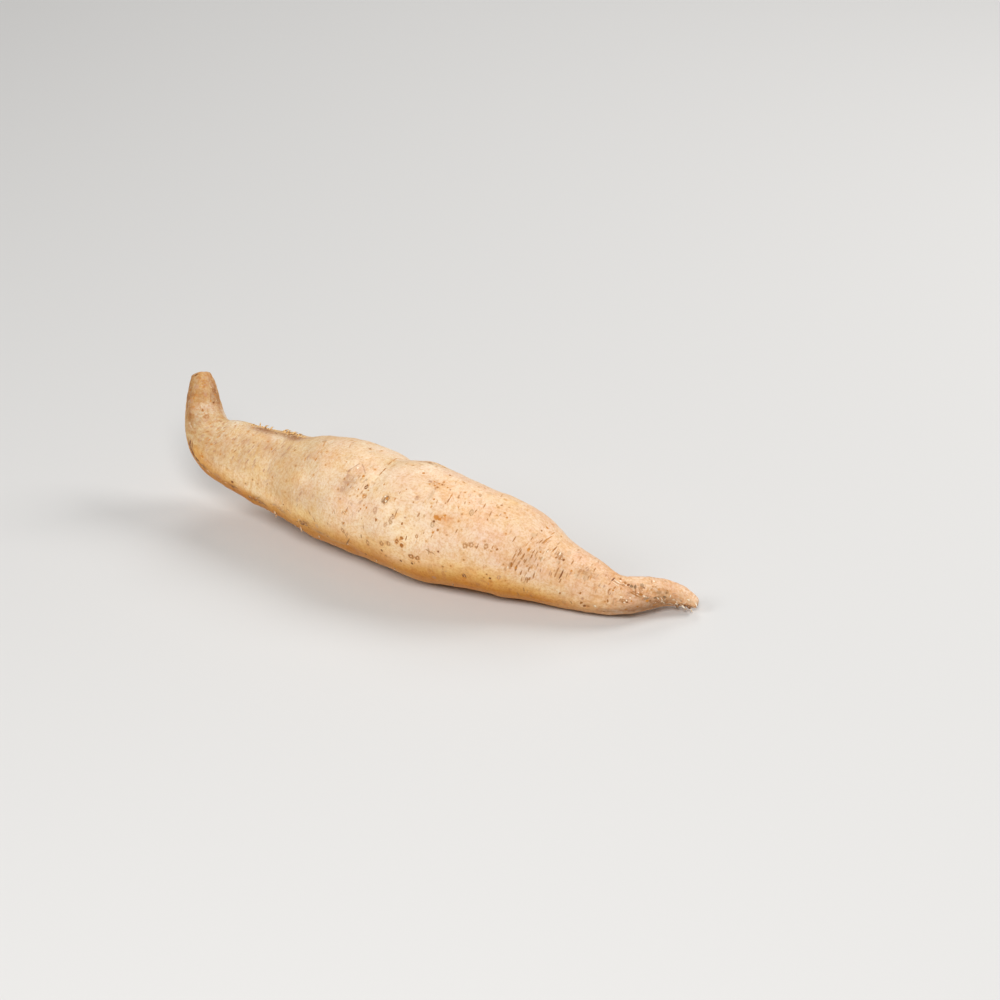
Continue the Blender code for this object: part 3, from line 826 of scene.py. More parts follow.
# Marks that the photograph doesn't show. Scattered marks are on the sides that face away from it, and
# faint ones are all over the skin: how many, how strong, the kinds and inks they are drawn from, and
# their sizes round the root and along it in millimetres.
SCATTERED = (210, (0.7, 1.0))
SCATTERED_KINDS = ("scar", "ring", "slit", "slit", "slit", "spot", "spot", "patch", "ring", "eye", "fleck")
FAINT = (240, (0.15, 0.5))
FAINT_KINDS = ("ring", "slit", "spot", "spot", "patch", "patch")
LOOSE_INKS = ("brown", "rust", "olive", "brown", "umber", "mauve")
LOOSE_SIZES = {
    "scar": ((2.6, 4.6), (2.0, 3.4)),
    "eye": ((1.8, 2.6), (1.5, 2.2)),
    "ring": ((1.8, 3.0), (1.6, 2.6)),
    "slit": ((1.4, 3.6), (0.5, 0.7)),
    "spot": ((0.7, 1.5), (0.7, 1.3)),
    "patch": ((1.4, 3.6), (1.0, 2.6)),
    "fleck": ((0.7, 1.3), (0.6, 1.1)),
}
TILT = 14               # degrees by which a mark may be turned on the skin, either way
LAYERS = 6              # sets that the marks are shared among, so that two of one set never meet
MARK_GAP = 1.0 * MM     # skin round a mark that still reads its place from the mark's middle
FAR_APART = 12 * MM     # marks further apart than this never meet
NOISE_STEPS = (1.7, 31)     # steps in the noise from one mark to the next, and from layer to layer
FLOOR_GAP = 0.5 * MM    # height below which no mark is drawn at random
TURNED_AWAY = 0.02      # metres from the camera, along a point's facing, past which it is turned away

# The dried stem cut, by its reach from the stem's end and from its middle
CUT_REACH = 1.3 * MM
CUT_RADIUS = 3.3 * MM
CUT_EDGE = 0.5 * MM     # how softly it ends

# Lumps and ribs of the skin: their height and size in millimetres, then what the size is divided by
# along the root, aside and up
RELIEF = {
    "lumps": (0.18, 6.0, (1, 1, 1)),
    "ribs_round": (0.11, 1.6, (1, 0.25, 0.25)),
    "ribs_along": (0.22, 1.7, (0.25, 1, 1)),
    "torn": (0.35, 1.0, (0.5, 1, 1)),
}
BOX_MARGIN = 0.02 * MM  # how far the skin stays inside the solid's box

# Ribs along the root: where they begin on its tail and end on its neck, and over how much of its length
# they come and go, all in metres from the stem cut
TAIL_START = 0.205
TAIL_FADE = 0.03
NECK_END = 0.035
NECK_FADE = 0.015
NECK_RIBS = 0.6         # their height on the neck, as a share of that on the tail

# Strands by the pixels of the photograph that they run through, rooted at the first: the piece that they
# belong to, thickness at the root and at the end in millimetres, and the pixels
STRANDS = (
    ("rootlets", 1.2, 0.6, ((273.2, 510.2), (275.4, 513.6), (276.8, 516), (275.4, 517.6))),
    ("rootlets", 1.0, 0.4, ((299.8, 526.4), (301.2, 529.6), (302.3, 532))),
    ("rootlets", 0.9, 0.4, ((376.2, 559.6), (376.8, 561.2), (376.6, 562))),
    ("rootlets", 0.8, 0.4, ((394.4, 567.8), (394.4, 569.6), (393.8, 570.6))),
    ("rootlets", 1.0, 0.5, ((452.6, 583.6), (452.8, 585.2), (453.4, 586.2))),
    ("rootlets", 1.0, 0.5, ((318.4, 535.4), (319.2, 537), (320, 538))),
    ("tail_shreds", 0.8, 0.4, ((695.6, 601.6), (696.5, 604.6), (696.8, 607.2))),
    ("tail_shreds", 0.9, 0.4, ((689.2, 606.4), (690.8, 609.8), (692.6, 612.6))),
    ("tail_shreds", 1.1, 0.5, ((681.4, 604.8), (683.8, 607.8), (687.4, 610))),
    ("tail_shreds", 0.7, 0.4, ((675.4, 603.2), (676.4, 604.4), (678, 604.8))),
    ("tail_shreds", 0.6, 0.4, ((675.6, 602.4), (676.4, 601.8), (677.8, 602.2))),
    ("dark_crumbs", 1.9, 1.1, ((687, 605), (688.8, 607.6), (690.6, 608.8))),
    ("dark_crumbs", 1.9, 1.0, ((676.4, 604.4), (677.2, 606.4), (678.2, 607.6))),
    ("dark_crumbs", 0.9, 0.5, ((683, 605), (684.2, 608.2), (687.4, 609.8))),
    ("bark_crumbs", 1.3, 0.7, ((286.4, 433), (288.4, 430.4), (291.8, 430.6), (293.4, 432.8))),
    ("bark_crumbs", 1.2, 0.6, ((291.6, 434.8), (294.2, 431.6), (297.8, 432), (299.6, 434.4))),
    ("bark_crumbs", 1.1, 0.6, ((296.6, 436), (300, 433.2), (303.6, 434.8))),
    ("bark_crumbs", 1.1, 0.6, ((283.6, 432.2), (285.8, 429.4), (289.4, 429.6))),
    ("bark_crumbs", 1.0, 0.6, ((289.6, 434.6), (292, 434.8), (294.6, 436.4))),
    ("bark_crumbs", 0.9, 0.5, ((299.6, 436.4), (302, 436), (305, 437.4))),
    ("bark_crumbs", 0.9, 0.4, ((260.6, 427), (260.2, 424.6), (260.4, 422.2))),
    ("bark_crumbs", 1.0, 0.6, ((264.6, 428), (266.6, 424.8), (269.6, 426))),
    ("bark_crumbs", 0.9, 0.5, ((270.6, 429.2), (272.2, 426), (274.6, 427.6))),
    ("bark_crumbs", 0.8, 0.5, ((252, 425.4), (253.4, 423.6), (255.6, 424.4))),
)
ROOTED = 0.5 * MM       # how deep under the skin a strand begins

# Crumbs by the pixel of the photograph that they are on: the piece that they belong to, pixels across
# and down, then length and thickness in millimetres
CRUMBS = (
    ("bark_crumbs", 253, 425.6, 1.6, 1.0),
    ("bark_crumbs", 256.4, 426.2, 1.4, 0.8),
    ("bark_crumbs", 263.4, 427.4, 1.5, 0.9),
    ("bark_crumbs", 268.8, 429.2, 1.8, 0.9),
    ("bark_crumbs", 275.4, 430.4, 1.5, 0.8),
    ("bark_crumbs", 285.6, 432.6, 2.8, 1.4),
    ("bark_crumbs", 290.4, 433.2, 2.4, 1.3),
    ("bark_crumbs", 295, 434.4, 2.7, 1.4),
    ("bark_crumbs", 299.4, 436, 2.4, 1.2),
    ("bark_crumbs", 303.6, 437.2, 1.8, 0.9),
    ("bark_crumbs", 297, 437.6, 1.4, 0.7),
    ("bark_crumbs", 288, 434.4, 1.6, 0.8),
    ("tail_shreds", 681, 605, 1.8, 0.5),
    ("tail_shreds", 688, 604.8, 1.0, 0.5),
    ("dark_crumbs", 689.6, 606.2, 1.8, 1.1),
    ("dark_crumbs", 251, 497.6, 1.5, 0.8),
    ("dark_crumbs", 255.4, 500, 1.3, 0.6),
    ("dark_crumbs", 260, 502.6, 1.6, 0.8),
    ("dark_crumbs", 303, 523.6, 1.5, 0.8),
    ("dark_crumbs", 306.4, 525.4, 1.2, 0.6),
    ("dark_crumbs", 233, 486.4, 1.3, 0.7),
    ("dark_crumbs", 195.6, 457.2, 1.4, 0.7),
    ("dark_crumbs", 191.4, 450, 1.3, 0.6),
    ("dark_crumbs", 266, 428.8, 1.4, 0.7),
    ("dark_crumbs", 291, 434.8, 1.5, 0.7),
    ("bark_crumbs", 444.6, 466.8, 1.3, 0.6),
    ("bark_crumbs", 434.6, 463.4, 1.2, 0.6),
)
CRUMB_SHAPE = (1.0, 0.55, 0.4)      # length, width and height before a crumb is sized, in millimetres
CRUMB_FLATNESS = 0.8    # its height after that, as a share of its width
CRUMB_TURN = 0.6        # radians by which it may be turned from the root's length, either way
CRUMB_DEPTH = 0.1 * MM  # how deep its middle lies under the skin

# Finishes of the loose matter, by its piece: the material, and its pale and dark colours
LOOSE_FINISHES = {
    "bark_crumbs": ("dry_bark", (0.80, 0.54, 0.24), (0.40, 0.185, 0.055)),
    "rootlets": ("dry_rootlet", (0.62, 0.43, 0.26), (0.38, 0.20, 0.09)),
    "tail_shreds": ("torn_fibre", (0.94, 0.82, 0.64), (0.60, 0.42, 0.26)),
    "dark_crumbs": ("dark_bark", (0.36, 0.19, 0.09), (0.14, 0.06, 0.025)),
}

# Colours of the patterns in the skin's material
PATTERN_COLOURS = {
    "slit": (0.40, 0.165, 0.05),
    "grey slit": (0.55, 0.31, 0.17),
    "speck": (0.58, 0.225, 0.05),
    "dark speck": (0.36, 0.17, 0.07),
    # brown of the gaps between torn fibres, partly dry tissue and partly painted shade
    "torn gap and shade": (0.38, 0.165, 0.055),
    "bare fibre": (0.90, 0.76, 0.58),
    "bleached": (0.86, 0.73, 0.54),
    "dry cut": (0.52, 0.36, 0.20),
    "dark cut": (0.16, 0.085, 0.04),
}
DRIFT = 2.4 * MM        # how far the patterns wander from straight lines
NOISE_MIDDLE = 0.49     # the middle of a soft noise, then where it is fully low and fully high
NOISE_LOW = 0.32
NOISE_HIGH = 0.68


# Mesh helpers

def deselect_all():
    """Leaves nothing selected, in object mode."""
    bpy.ops.object.select_all(action="DESELECT")


def activate(thing):
    """Makes one object the only one selected, and the active one."""
    deselect_all()
    thing.select_set(True)
    bpy.context.view_layer.objects.active = thing


def apply_modifier(thing, kind, **settings):
    """Adds a modifier to an object and applies it."""
    activate(thing)
    modifier = thing.modifiers.new(kind.lower(), kind)
    for name, value in settings.items():
        setattr(modifier, name, value)
    bpy.ops.object.modifier_apply(modifier=modifier.name)


def points_of(mesh):
    """The places of a mesh's points."""
    places = np.empty(len(mesh.vertices) * 3, np.float32)
    mesh.vertices.foreach_get("co", places)
    return places.reshape(-1, 3).astype(float)


def normals_of(mesh):
    """The directions in which a mesh's points face."""
    facing = np.empty(len(mesh.vertices) * 3, np.float32)
    mesh.vertices.foreach_get("normal", facing)
    return facing.reshape(-1, 3).astype(float)


def move_points(mesh, places):
    """Puts a mesh's points at new places."""
    mesh.vertices.foreach_set("co", places.astype(np.float32).ravel())
    mesh.update()


def keep_on_points(mesh, name, kind, values):
    """Stores a value for every point of a mesh, for its material to read."""
    attribute = mesh.attributes.new(name, kind, "POINT")
    field = {"FLOAT_VECTOR": "vector", "FLOAT_COLOR": "color", "FLOAT": "value"}[kind]
    attribute.data.foreach_set(field, values.astype(np.float32).ravel())


# The root's own directions

def grown_line():
    """The smoothed centre line: distances from the stem cut, points and directions."""
    rows = np.array(CENTRE_LINE) * (LENGTH, RADIUS, RADIUS) + ORIGIN
    chord = np.append(0, np.cumsum(np.linalg.norm(np.diff(rows, axis=0), axis=1)))
    steps = np.linspace(0, chord[-1], LINE_STEPS)
    line = np.stack([np.interp(steps, chord, rows[:, k]) for k in range(3)], axis=1)
    half = LINE_SOFTNESS // 2
    before = 2 * line[0] - line[half:0:-1]
    after = 2 * line[-1] - line[-2:-half - 2:-1]
    longer = np.concatenate((before, line, after))
    window = np.hanning(LINE_SOFTNESS + 2)[1:-1]
    window /= window.sum()
    line = np.stack([np.convolve(longer[:, k], window, "valid") for k in range(3)], axis=1)
    forward = np.gradient(line, axis=0)
    forward /= np.linalg.norm(forward, axis=1)[:, None]
    travelled = np.append(0, np.cumsum(np.linalg.norm(np.diff(line, axis=0), axis=1)))
    return travelled, line, forward


DISTANCES, LINE, FORWARD = grown_line()
ASIDE = np.cross((0, 0, 1), FORWARD)
ASIDE /= np.linalg.norm(ASIDE, axis=1)[:, None]
UPWARD = np.cross(FORWARD, ASIDE)


def nearest_steps(places, together=4000):
    """For each place, the step of the centre line nearest to it, found for so many places together."""
    found = []
    for start in range(0, len(places), together):
        off = places[start:start + together, None] - LINE[None]
        found.append((off**2).sum(axis=2).argmin(axis=1))
    return np.concatenate(found)


def grown_places(places, steps):
    """Places on the root as it would lie if straightened: along it, aside and up from its line."""
    off = places - LINE[steps]
    along = DISTANCES[steps] + (off * FORWARD[steps]).sum(axis=1)
    aside = (off * ASIDE[steps]).sum(axis=1)
    upward = (off * UPWARD[steps]).sum(axis=1)
    return np.stack((along, aside, upward), axis=1)


# Camera, lights and floor

def make_camera():
    """The camera, at the photograph's place."""
    bpy.ops.object.camera_add(location=CAMERA_PLACE, rotation=[math.radians(a) for a in CAMERA_TURN])
    camera = bpy.context.object
    camera.data.lens = LENS
    camera.data.sensor_width = FILM
    camera.data.clip_start = 0.01
    bpy.context.scene.camera = camera
    bpy.context.view_layer.update()
    return camera


def soft_light(name, place, width, power):
    """One soft white lamp, aimed at the root."""
    bpy.ops.object.light_add(type="AREA", location=place)
    lamp = bpy.context.object
    lamp.name = name
    lamp.data.shape = "DISK"
    lamp.data.size = width
    lamp.data.energy = power
    lamp.rotation_euler = (Vector(LAMP_AIM) - Vector(place)).to_track_quat("-Z", "Y").to_euler()


def light_studio():
    """Soft light from high in front, weaker light from both sides and behind, and a pale surround."""
    for lamp in LAMPS:
        soft_light(*lamp)
    world = bpy.data.worlds.new("surround")
    bpy.context.scene.world = world
    world.use_nodes = True
    world.node_tree.nodes["Background"].inputs["Color"].default_value = (1, 1, 1, 1)
    world.node_tree.nodes["Background"].inputs["Strength"].default_value = SURROUND
    bpy.context.scene.view_settings.view_transform = "Standard"


def make_floor():
    """A plain pale floor, wide enough to fill every view."""
    deselect_all()
    bpy.ops.mesh.primitive_plane_add(size=FLOOR_WIDTH, location=(0, 0, 0))
    floor = bpy.context.object
    floor.name = "floor"
    material = bpy.data.materials.new("pale_floor")
    material.use_nodes = True
    shader = material.node_tree.nodes["Principled BSDF"]
    shader.inputs["Base Color"].default_value = (*FLOOR_COLOUR, 1)
    shader.inputs["Roughness"].default_value = 0.8
    floor.data.materials.append(material)


# Finding places by the photograph's pixels

def pixel_ray(camera, across, down):
    """Where the camera stands, and the direction in which it sees a pixel."""
    focal_pixels = LENS / FILM * PICTURE
    seen = Vector(((across - PICTURE / 2) / focal_pixels, (PICTURE / 2 - down) / focal_pixels, -1))
    return camera.matrix_world.translation, camera.matrix_world.to_3x3() @ seen.normalized()


def seen_place(camera, tree, across, down):
    """The place on the skin that a pixel shows, and the direction in which the skin faces there."""
    place, facing, _, _ = tree.ray_cast(*pixel_ray(camera, across, down))
    if place is None:
        raise ValueError(f"the pixel {across}, {down} isn't on the skin")
    return np.array(place), np.array(facing)


def skin_axes(place, facing):
    """The two directions on the skin at a place: round the root, and along it."""
    step = nearest_steps(np.array([place]))[0]
    across = np.cross(FORWARD[step], facing)
    across /= np.linalg.norm(across)
    return np.stack((across, np.cross(facing, across)))


def soft_spot(places, place, axes, halves):
    """How near each place is to a spot on the skin, from 1 in its middle to 0 far away."""
    off = places - place
    flat = off @ axes.T
    deep = ((off**2).sum(axis=1) - (flat**2).sum(axis=1)) / max(halves) ** 2
    return np.exp(-((flat / halves) ** 2).sum(axis=1) - np.maximum(deep, 0))


# Marks of the skin

def placed_mark(kind, ink, place, facing, axes, sizes, strength):
    """A mark as a dictionary: where it is on the skin, its half sizes, and what it shows."""
    tilt = math.radians(random.uniform(-TILT, TILT)) if kind != "slit" else 0.0
    turn = np.array(((math.cos(tilt), math.sin(tilt)), (-math.sin(tilt), math.cos(tilt))))
    return {
        "kind": kind,
        "ink": INKS.get(ink) or TINTS[ink],
        "place": place,
        "facing": facing,
        "axes": turn @ axes,
        "halves": np.array(sizes) * MM / 2,
        "strength": strength,
    }


def drawn_slit(camera, tree, ink, strength, width, ends):
    """A slit between two pixels of the photograph."""
    first, _ = seen_place(camera, tree, *ends[:2])
    last, _ = seen_place(camera, tree, *ends[2:])
    middle, facing = seen_place(camera, tree, (ends[0] + ends[2]) / 2, (ends[1] + ends[3]) / 2)
    length = np.linalg.norm(last - first)
    aside = np.cross(facing, last - first)
    aside /= np.linalg.norm(aside)
    axes = np.stack((np.cross(aside, facing), aside))
    return placed_mark("slit", ink, middle, facing, axes, (length / MM + SLIT_ENDS, width), strength)


def field_slits(camera, tree):
    """The slits of the fields, each at a place of its own and turned a little."""
    found = []
    for inks, across, down, reach_across, reach_down, amount, run_across, run_down in SLIT_FIELDS:
        for _ in range(amount):
            middle_across = across + random.gauss(0, FIELD_SPREAD) * reach_across
            middle_down = down + random.gauss(0, FIELD_SPREAD) * reach_down
            half = random.uniform(*SLIT_LENGTHS) / 2
            half_across = half * (run_across + random.gauss(0, SLIT_STRAY))
            half_down = half * (run_down + random.gauss(0, SLIT_STRAY))
            ink = random.choice(inks)
            strength = random.uniform(*SLIT_STRENGTHS)
            width = random.uniform(*SLIT_WIDTHS)
            first = (middle_across - half_across, middle_down - half_down)
            last = (middle_across + half_across, middle_down + half_down)
            seen = [tree.ray_cast(*pixel_ray(camera, *end))[0] for end in (first, last)]
            if None not in seen and (seen[0] - seen[1]).length < LONGEST_SLIT:
                found.append(drawn_slit(camera, tree, ink, strength, width, first + last))
    return found


def seen_marks(camera, tree):
    """The marks that the photograph shows, found on the skin by their pixels."""
    found = [drawn_slit(camera, tree, *row[:3], row[3:]) for row in STROKES]
    for kind, ink, across, down, size_round, size_along in MARKS:
        place, facing = seen_place(camera, tree, across, down)
        axes = skin_axes(place, facing)
        found.append(placed_mark(kind, ink, place, facing, axes, (size_round, size_along), 1.0))
    return found + field_slits(camera, tree)


def loose_marks(amount, strengths, kinds, places, facing, free):
    """Marks drawn at random among the free points of the skin."""
    found = []
    for _ in range(amount):
        kind = random.choice(kinds)
        at = free[random.randrange(len(free))]
        sizes = [random.uniform(*limits) for limits in LOOSE_SIZES[kind]]
        ink = "chalk" if kind == "fleck" else random.choice(LOOSE_INKS)
        axes = skin_axes(places[at], facing[at])
        strength = random.uniform(*strengths)
        found.append(placed_mark(kind, ink, places[at], facing[at], axes, sizes, strength))
    return found


def all_marks(camera, tree, places, facing):
    """Every mark of the skin, those of the photograph first."""
    clear = places[:, 2] > FLOOR_GAP
    away = ((places - CAMERA_PLACE) * facing).sum(axis=1) > TURNED_AWAY
    marks = seen_marks(camera, tree)
    marks += loose_marks(*SCATTERED, SCATTERED_KINDS, places, facing, np.flatnonzero(clear & away))
    marks += loose_marks(*FAINT, FAINT_KINDS, places, facing, np.flatnonzero(clear))
    return marks


def stand_apart(mark, other):
    """Whether two marks leave enough skin between them to share a layer."""
    off = other["place"] - mark["place"]
    if off @ off > FAR_APART**2:
        return True
    room = np.abs(mark["axes"] @ other["axes"].T) @ other["halves"] + mark["halves"] + 2 * MARK_GAP
    return bool(np.any(np.abs(mark["axes"] @ off) > room))


def share_out(marks):
    """Gives each mark a layer in which no other mark is near it, or leaves it out if there is none."""
    layers = [[] for _ in range(LAYERS)]
    for mark in marks:
        for layer in layers:
            if all(stand_apart(mark, other) for other in layer):
                layer.append(mark)
                break
    return layers


def draw_layer(mesh, index, layer, places, facing):
    """Stores, for the points round each mark of a layer, their place in it, its shape and its ink."""
    inside = np.zeros((len(places), 3))
    shape = np.zeros((len(places), 4))
    ink = np.zeros((len(places), 4))
    nearest = np.ones(len(places))
    second = np.ones(len(places))
    for number, mark in enumerate(layer):
        outline, hole, middle, halo, bleached, _ = KINDS[mark["kind"]]
        off = places - mark["place"]
        spread = 0.6 * mark["halves"].max() + MARK_GAP
        furthest = np.linalg.norm(mark["halves"]) + spread + 3 * MARK_GAP
        near = np.flatnonzero((off**2).sum(axis=1) < furthest**2)
        near = near[facing[near] @ mark["facing"] > 0.1]
        flat = off[near] @ mark["axes"].T
        beyond = np.linalg.norm(np.maximum(np.abs(flat) - mark["halves"], 0), axis=1)
        closer = beyond < nearest[near]
        second[near] = np.where(closer, nearest[near], np.minimum(second[near], beyond))
        near, flat, beyond = near[closer], flat[closer], beyond[closer]
        nearest[near] = beyond
        inside[near, :2] = flat / mark["halves"]
        inside[near, 2] = number * NOISE_STEPS[0] + index * NOISE_STEPS[1]
        shown = np.array((outline, middle, halo, bleached)) * mark["strength"]
        shape[near] = (beyond < spread)[:, None] * shown
        ink[near] = (*mark["ink"], hole)
    # Points about equally near two marks would read a mixture of both, so they show neither
    shape[second - nearest < 0.9 * MARK_GAP] = 0
    keep_on_points(mesh, f"inside_{index}", "FLOAT_VECTOR", inside)
    keep_on_points(mesh, f"shape_{index}", "FLOAT_COLOR", shape)
    keep_on_points(mesh, f"ink_{index}", "FLOAT_COLOR", ink)


def dent_marks(marks, places, facing):
    """How far each point rises by the marks: sunk middles, and slightly raised rims."""
    rise = np.zeros(len(places))
    for mark in marks:
        depth = KINDS[mark["kind"]][5] * MM * mark["strength"]
        off = places - mark["place"]
        near = np.flatnonzero((off**2).sum(axis=1) < (mark["halves"].max() * 2.5) ** 2)
        near = near[facing[near] @ mark["facing"] > 0]
        out = (((off[near] @ mark["axes"].T) / mark["halves"]) ** 2).sum(axis=1)
        rise[near] -= depth * (1 - 0.9 * out) * np.exp(-1.2 * out)
    return rise


# Colour and wear of the skin

def tints_of(grown):
    """The skin's colour at each point by its place along the root and round it, with painted shade towards
    the stem end and painted shade and warm bounce light on the underside.
    """
    steps = [row[0] * MM for row in TINTS_ALONG]
    shades = np.array([TINTS[row[1]] for row in TINTS_ALONG])
    colours = np.stack([np.interp(grown[:, 0], steps, shades[:, k]) for k in range(3)], axis=1)
    turned = np.degrees(np.arctan2(grown[:, 1], grown[:, 2]))
    faded = np.interp(grown[:, 0] / MM, *zip(*ROUND_FADE))
    for tint, shares in TINTS_ROUND:
        share = (np.interp(turned, *zip(*shares)) * faded)[:, None]
        colours = colours * (1 - share) + np.array(TINTS[tint]) * share
    return colours


def touch_up(colours, camera, tree, places):
    """Adds the soft touches of colour that the photograph shows, among them painted shadow, painted shade,
    painted light and painted highlights.
    """
    for tint, across, down, reach_round, reach_along, share in TOUCHES:
        place, facing = seen_place(camera, tree, across, down)
        halves = np.array((reach_round, reach_along)) * MM
        near = share * soft_spot(places, place, skin_axes(place, facing), halves)[:, None]
        colours = colours * (1 - near) + np.array(TINTS[tint]) * near
    return colours


def wear_of(grown):
    """How strong the streaks, fibres and blotches are at each point."""
    rows = np.array(WEAR_ALONG)
    return np.stack([np.interp(grown[:, 0], rows[:, 0] * MM, rows[:, k]) for k in (1, 2, 3)], axis=1)


def spread_of(spots, camera, tree, places):
    """How strong a table of soft spots is at each point."""
    strongest = np.zeros(len(places))
    for across, down, reach_round, reach_along, strength in spots:
        place, facing = seen_place(camera, tree, across, down)
        halves = np.array((reach_round, reach_along)) * MM
        near = strength * soft_spot(places, place, skin_axes(place, facing), halves)
        strongest = np.maximum(strongest, near)
    return strongest


def cut_of(grown):
    """How much each point belongs to the dried stem cut."""
    out = np.hypot(grown[:, 1], grown[:, 2])
    near = np.clip((CUT_REACH - grown[:, 0]) / CUT_EDGE, 0, 1)
    return near * np.clip((CUT_RADIUS - out) / CUT_EDGE + 0.5, 0, 1)


# Skin

def copy_of_part():
    """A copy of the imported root, its triangles merged to one smooth mesh of four-sided faces."""
    skin = bpy.data.objects.new("sweet_potato_skin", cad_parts[NODE].data.copy())
    bpy.context.scene.collection.objects.link(skin)
    skin.data.materials.clear()
    activate(skin)
    bpy.ops.object.mode_set(mode="EDIT")
    bpy.ops.mesh.select_all(action="SELECT")
    bpy.ops.mesh.remove_doubles(threshold=0.01 * MM)
    bpy.ops.mesh.tris_convert_to_quads(face_threshold=math.radians(50), shape_threshold=math.radians(70))
    bpy.ops.mesh.normals_make_consistent(inside=False)
    bpy.ops.object.mode_set(mode="OBJECT")
    apply_modifier(skin, "SUBSURF", levels=2, render_levels=2, subdivision_type="CATMULL_CLARK")
    bpy.ops.object.shade_smooth()
    return skin


def relief(grown, pattern):
    """The heights of one pattern of lumps or ribs, smooth and random."""
    height, size, divisors = RELIEF[pattern]
    cells = grown * divisors / (size * MM)
    return height * MM * np.array([noise.fractal(Vector(cell), 1.0, 2.0, 2) for cell in cells])


def shape_skin(skin, marks, grown, rough):
    """Moves the skin's points: low lumps, ribs round the root and along its tail, and the marks' dents."""
    places = points_of(skin.data)
    facing = normals_of(skin.data)
    tail = np.clip((grown[:, 0] - TAIL_START) / TAIL_FADE, 0, 1)
    neck = np.clip((NECK_END - grown[:, 0]) / NECK_FADE, 0, 1)
    rise = relief(grown, "lumps")
    rise += relief(grown, "ribs_round")
    rise += np.maximum(tail, NECK_RIBS * neck) * relief(grown, "ribs_along")
    rise += rough * relief(grown, "torn")
    rise += dent_marks(marks, places, facing)
    low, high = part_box(NODE)
    places += rise[:, None] * facing
    places = np.clip(places, np.array(low) + BOX_MARGIN, np.array(high) - BOX_MARGIN)
    move_points(skin.data, places)


# Materials

def add_node(tree, kind, feeds=None, **settings):
    """Adds one shader node. Each of feeds is an input's name or number, with a value or a socket."""
    node = tree.nodes.new("ShaderNode" + kind)
    for name, value in settings.items():
        setattr(node, name, value)
    for name, value in (feeds or {}).items():
        if isinstance(value, bpy.types.NodeSocket):
            tree.links.new(value, node.inputs[name])
        else:
            node.inputs[name].default_value = value
    return node


def plain(name):
    """One of the patterns' colours, as a shader's value."""
    return (*PATTERN_COLOURS[name], 1.0)


def maths(tree, operation, first, second):
    """One sum, product or the like."""
    return add_node(tree, "Math", {0: first, 1: second}, operation=operation).outputs[0]


def times(tree, first, second):
    """A product."""
    return maths(tree, "MULTIPLY", first, second)


def less(tree, first, second):
    """A difference."""
    return maths(tree, "SUBTRACT", first, second)


def vector_maths(tree, operation, first, second):
    """One sum, product or the like of two vectors."""
    return add_node(tree, "VectorMath", {0: first, 1: second}, operation=operation).outputs[0]


def stretch(tree, where, sizes):
    """Coordinates in which a pattern repeats after the given sizes, in millimetres."""
    return vector_maths(tree, "MULTIPLY", where, [1 / (size * MM) for size in sizes])


def noise_at(tree, where, sizes, detail, roughness=0.5):
    """Soft noise from 0 to 1, with lumps of the given sizes in millimetres."""
    feeds = {"Vector": stretch(tree, where, sizes), "Scale": 1.0, "Detail": detail, "Roughness": roughness}
    return add_node(tree, "TexNoise", feeds)


def three_noises(tree, where, sizes, detail):
    """Three soft noises with lumps of the same sizes, each with a pattern of its own."""
    patterns = noise_at(tree, where, sizes, detail, 0.6).outputs["Color"]
    return add_node(tree, "SeparateXYZ", {0: patterns}).outputs


def between(tree, value, low, high):
    """Goes smoothly from 0 at low to 1 at high, which may be the smaller of the two."""
    feeds = {"Value": value, "From Min": low, "From Max": high}
    return add_node(tree, "MapRange", feeds, interpolation_type="SMOOTHSTEP").outputs[0]


def reach(tree, value, low, high):
    """Turns a share from 0 to 1 into a value from low to high."""
    return add_node(tree, "MapRange", {"Value": value, "To Min": low, "To Max": high}).outputs[0]


def blend(tree, share, first, second):
    """Mixes two colours."""
    return add_node(tree, "Mix", {0: share, 6: first, 7: second}, data_type="RGBA").outputs[2]


def tone(tree, share, colour, factors):
    """Multiplies a share of a colour by factors for red, green and blue."""
    feeds = {0: share, 6: colour, 7: (*factors, 1.0)}
    return add_node(tree, "Mix", feeds, data_type="RGBA", blend_type="MULTIPLY").outputs[2]


def mottle(tree, colour, pattern, strength, dark, pale):
    """Multiplies a colour by one set of factors where a pattern is high, and by another where it is low."""
    high = between(tree, pattern, NOISE_MIDDLE, NOISE_HIGH)
    colour = tone(tree, times(tree, high, strength), colour, dark)
    low = between(tree, pattern, NOISE_MIDDLE, NOISE_LOW)
    return tone(tree, times(tree, low, strength), colour, pale)


def read_points(tree, name, output="Vector"):
    """What the mesh's points hold under a name."""
    return add_node(tree, "Attribute", attribute_name=name).outputs[output]


def scattered_dots(tree, where, sizes, radius, share):
    """Small dots, one in a share of the cells of the given sizes: the dots, the skin round them, a number."""
    feeds = {"Vector": stretch(tree, where, sizes), "Scale": 1.0, "Randomness": 1.0}
    cells = add_node(tree, "TexVoronoi", feeds)
    chance = add_node(tree, "SeparateXYZ", {0: cells.outputs["Color"]})
    kept = maths(tree, "LESS_THAN", chance.outputs[0], share)
    kept = times(tree, kept, between(tree, chance.outputs[1], -0.5, 1.0))
    dot = between(tree, cells.outputs["Distance"], radius, 0.55 * radius)
    halo = between(tree, cells.outputs["Distance"], 2.4 * radius, 0.6 * radius)
    return times(tree, dot, kept), times(tree, halo, kept), chance.outputs[2]


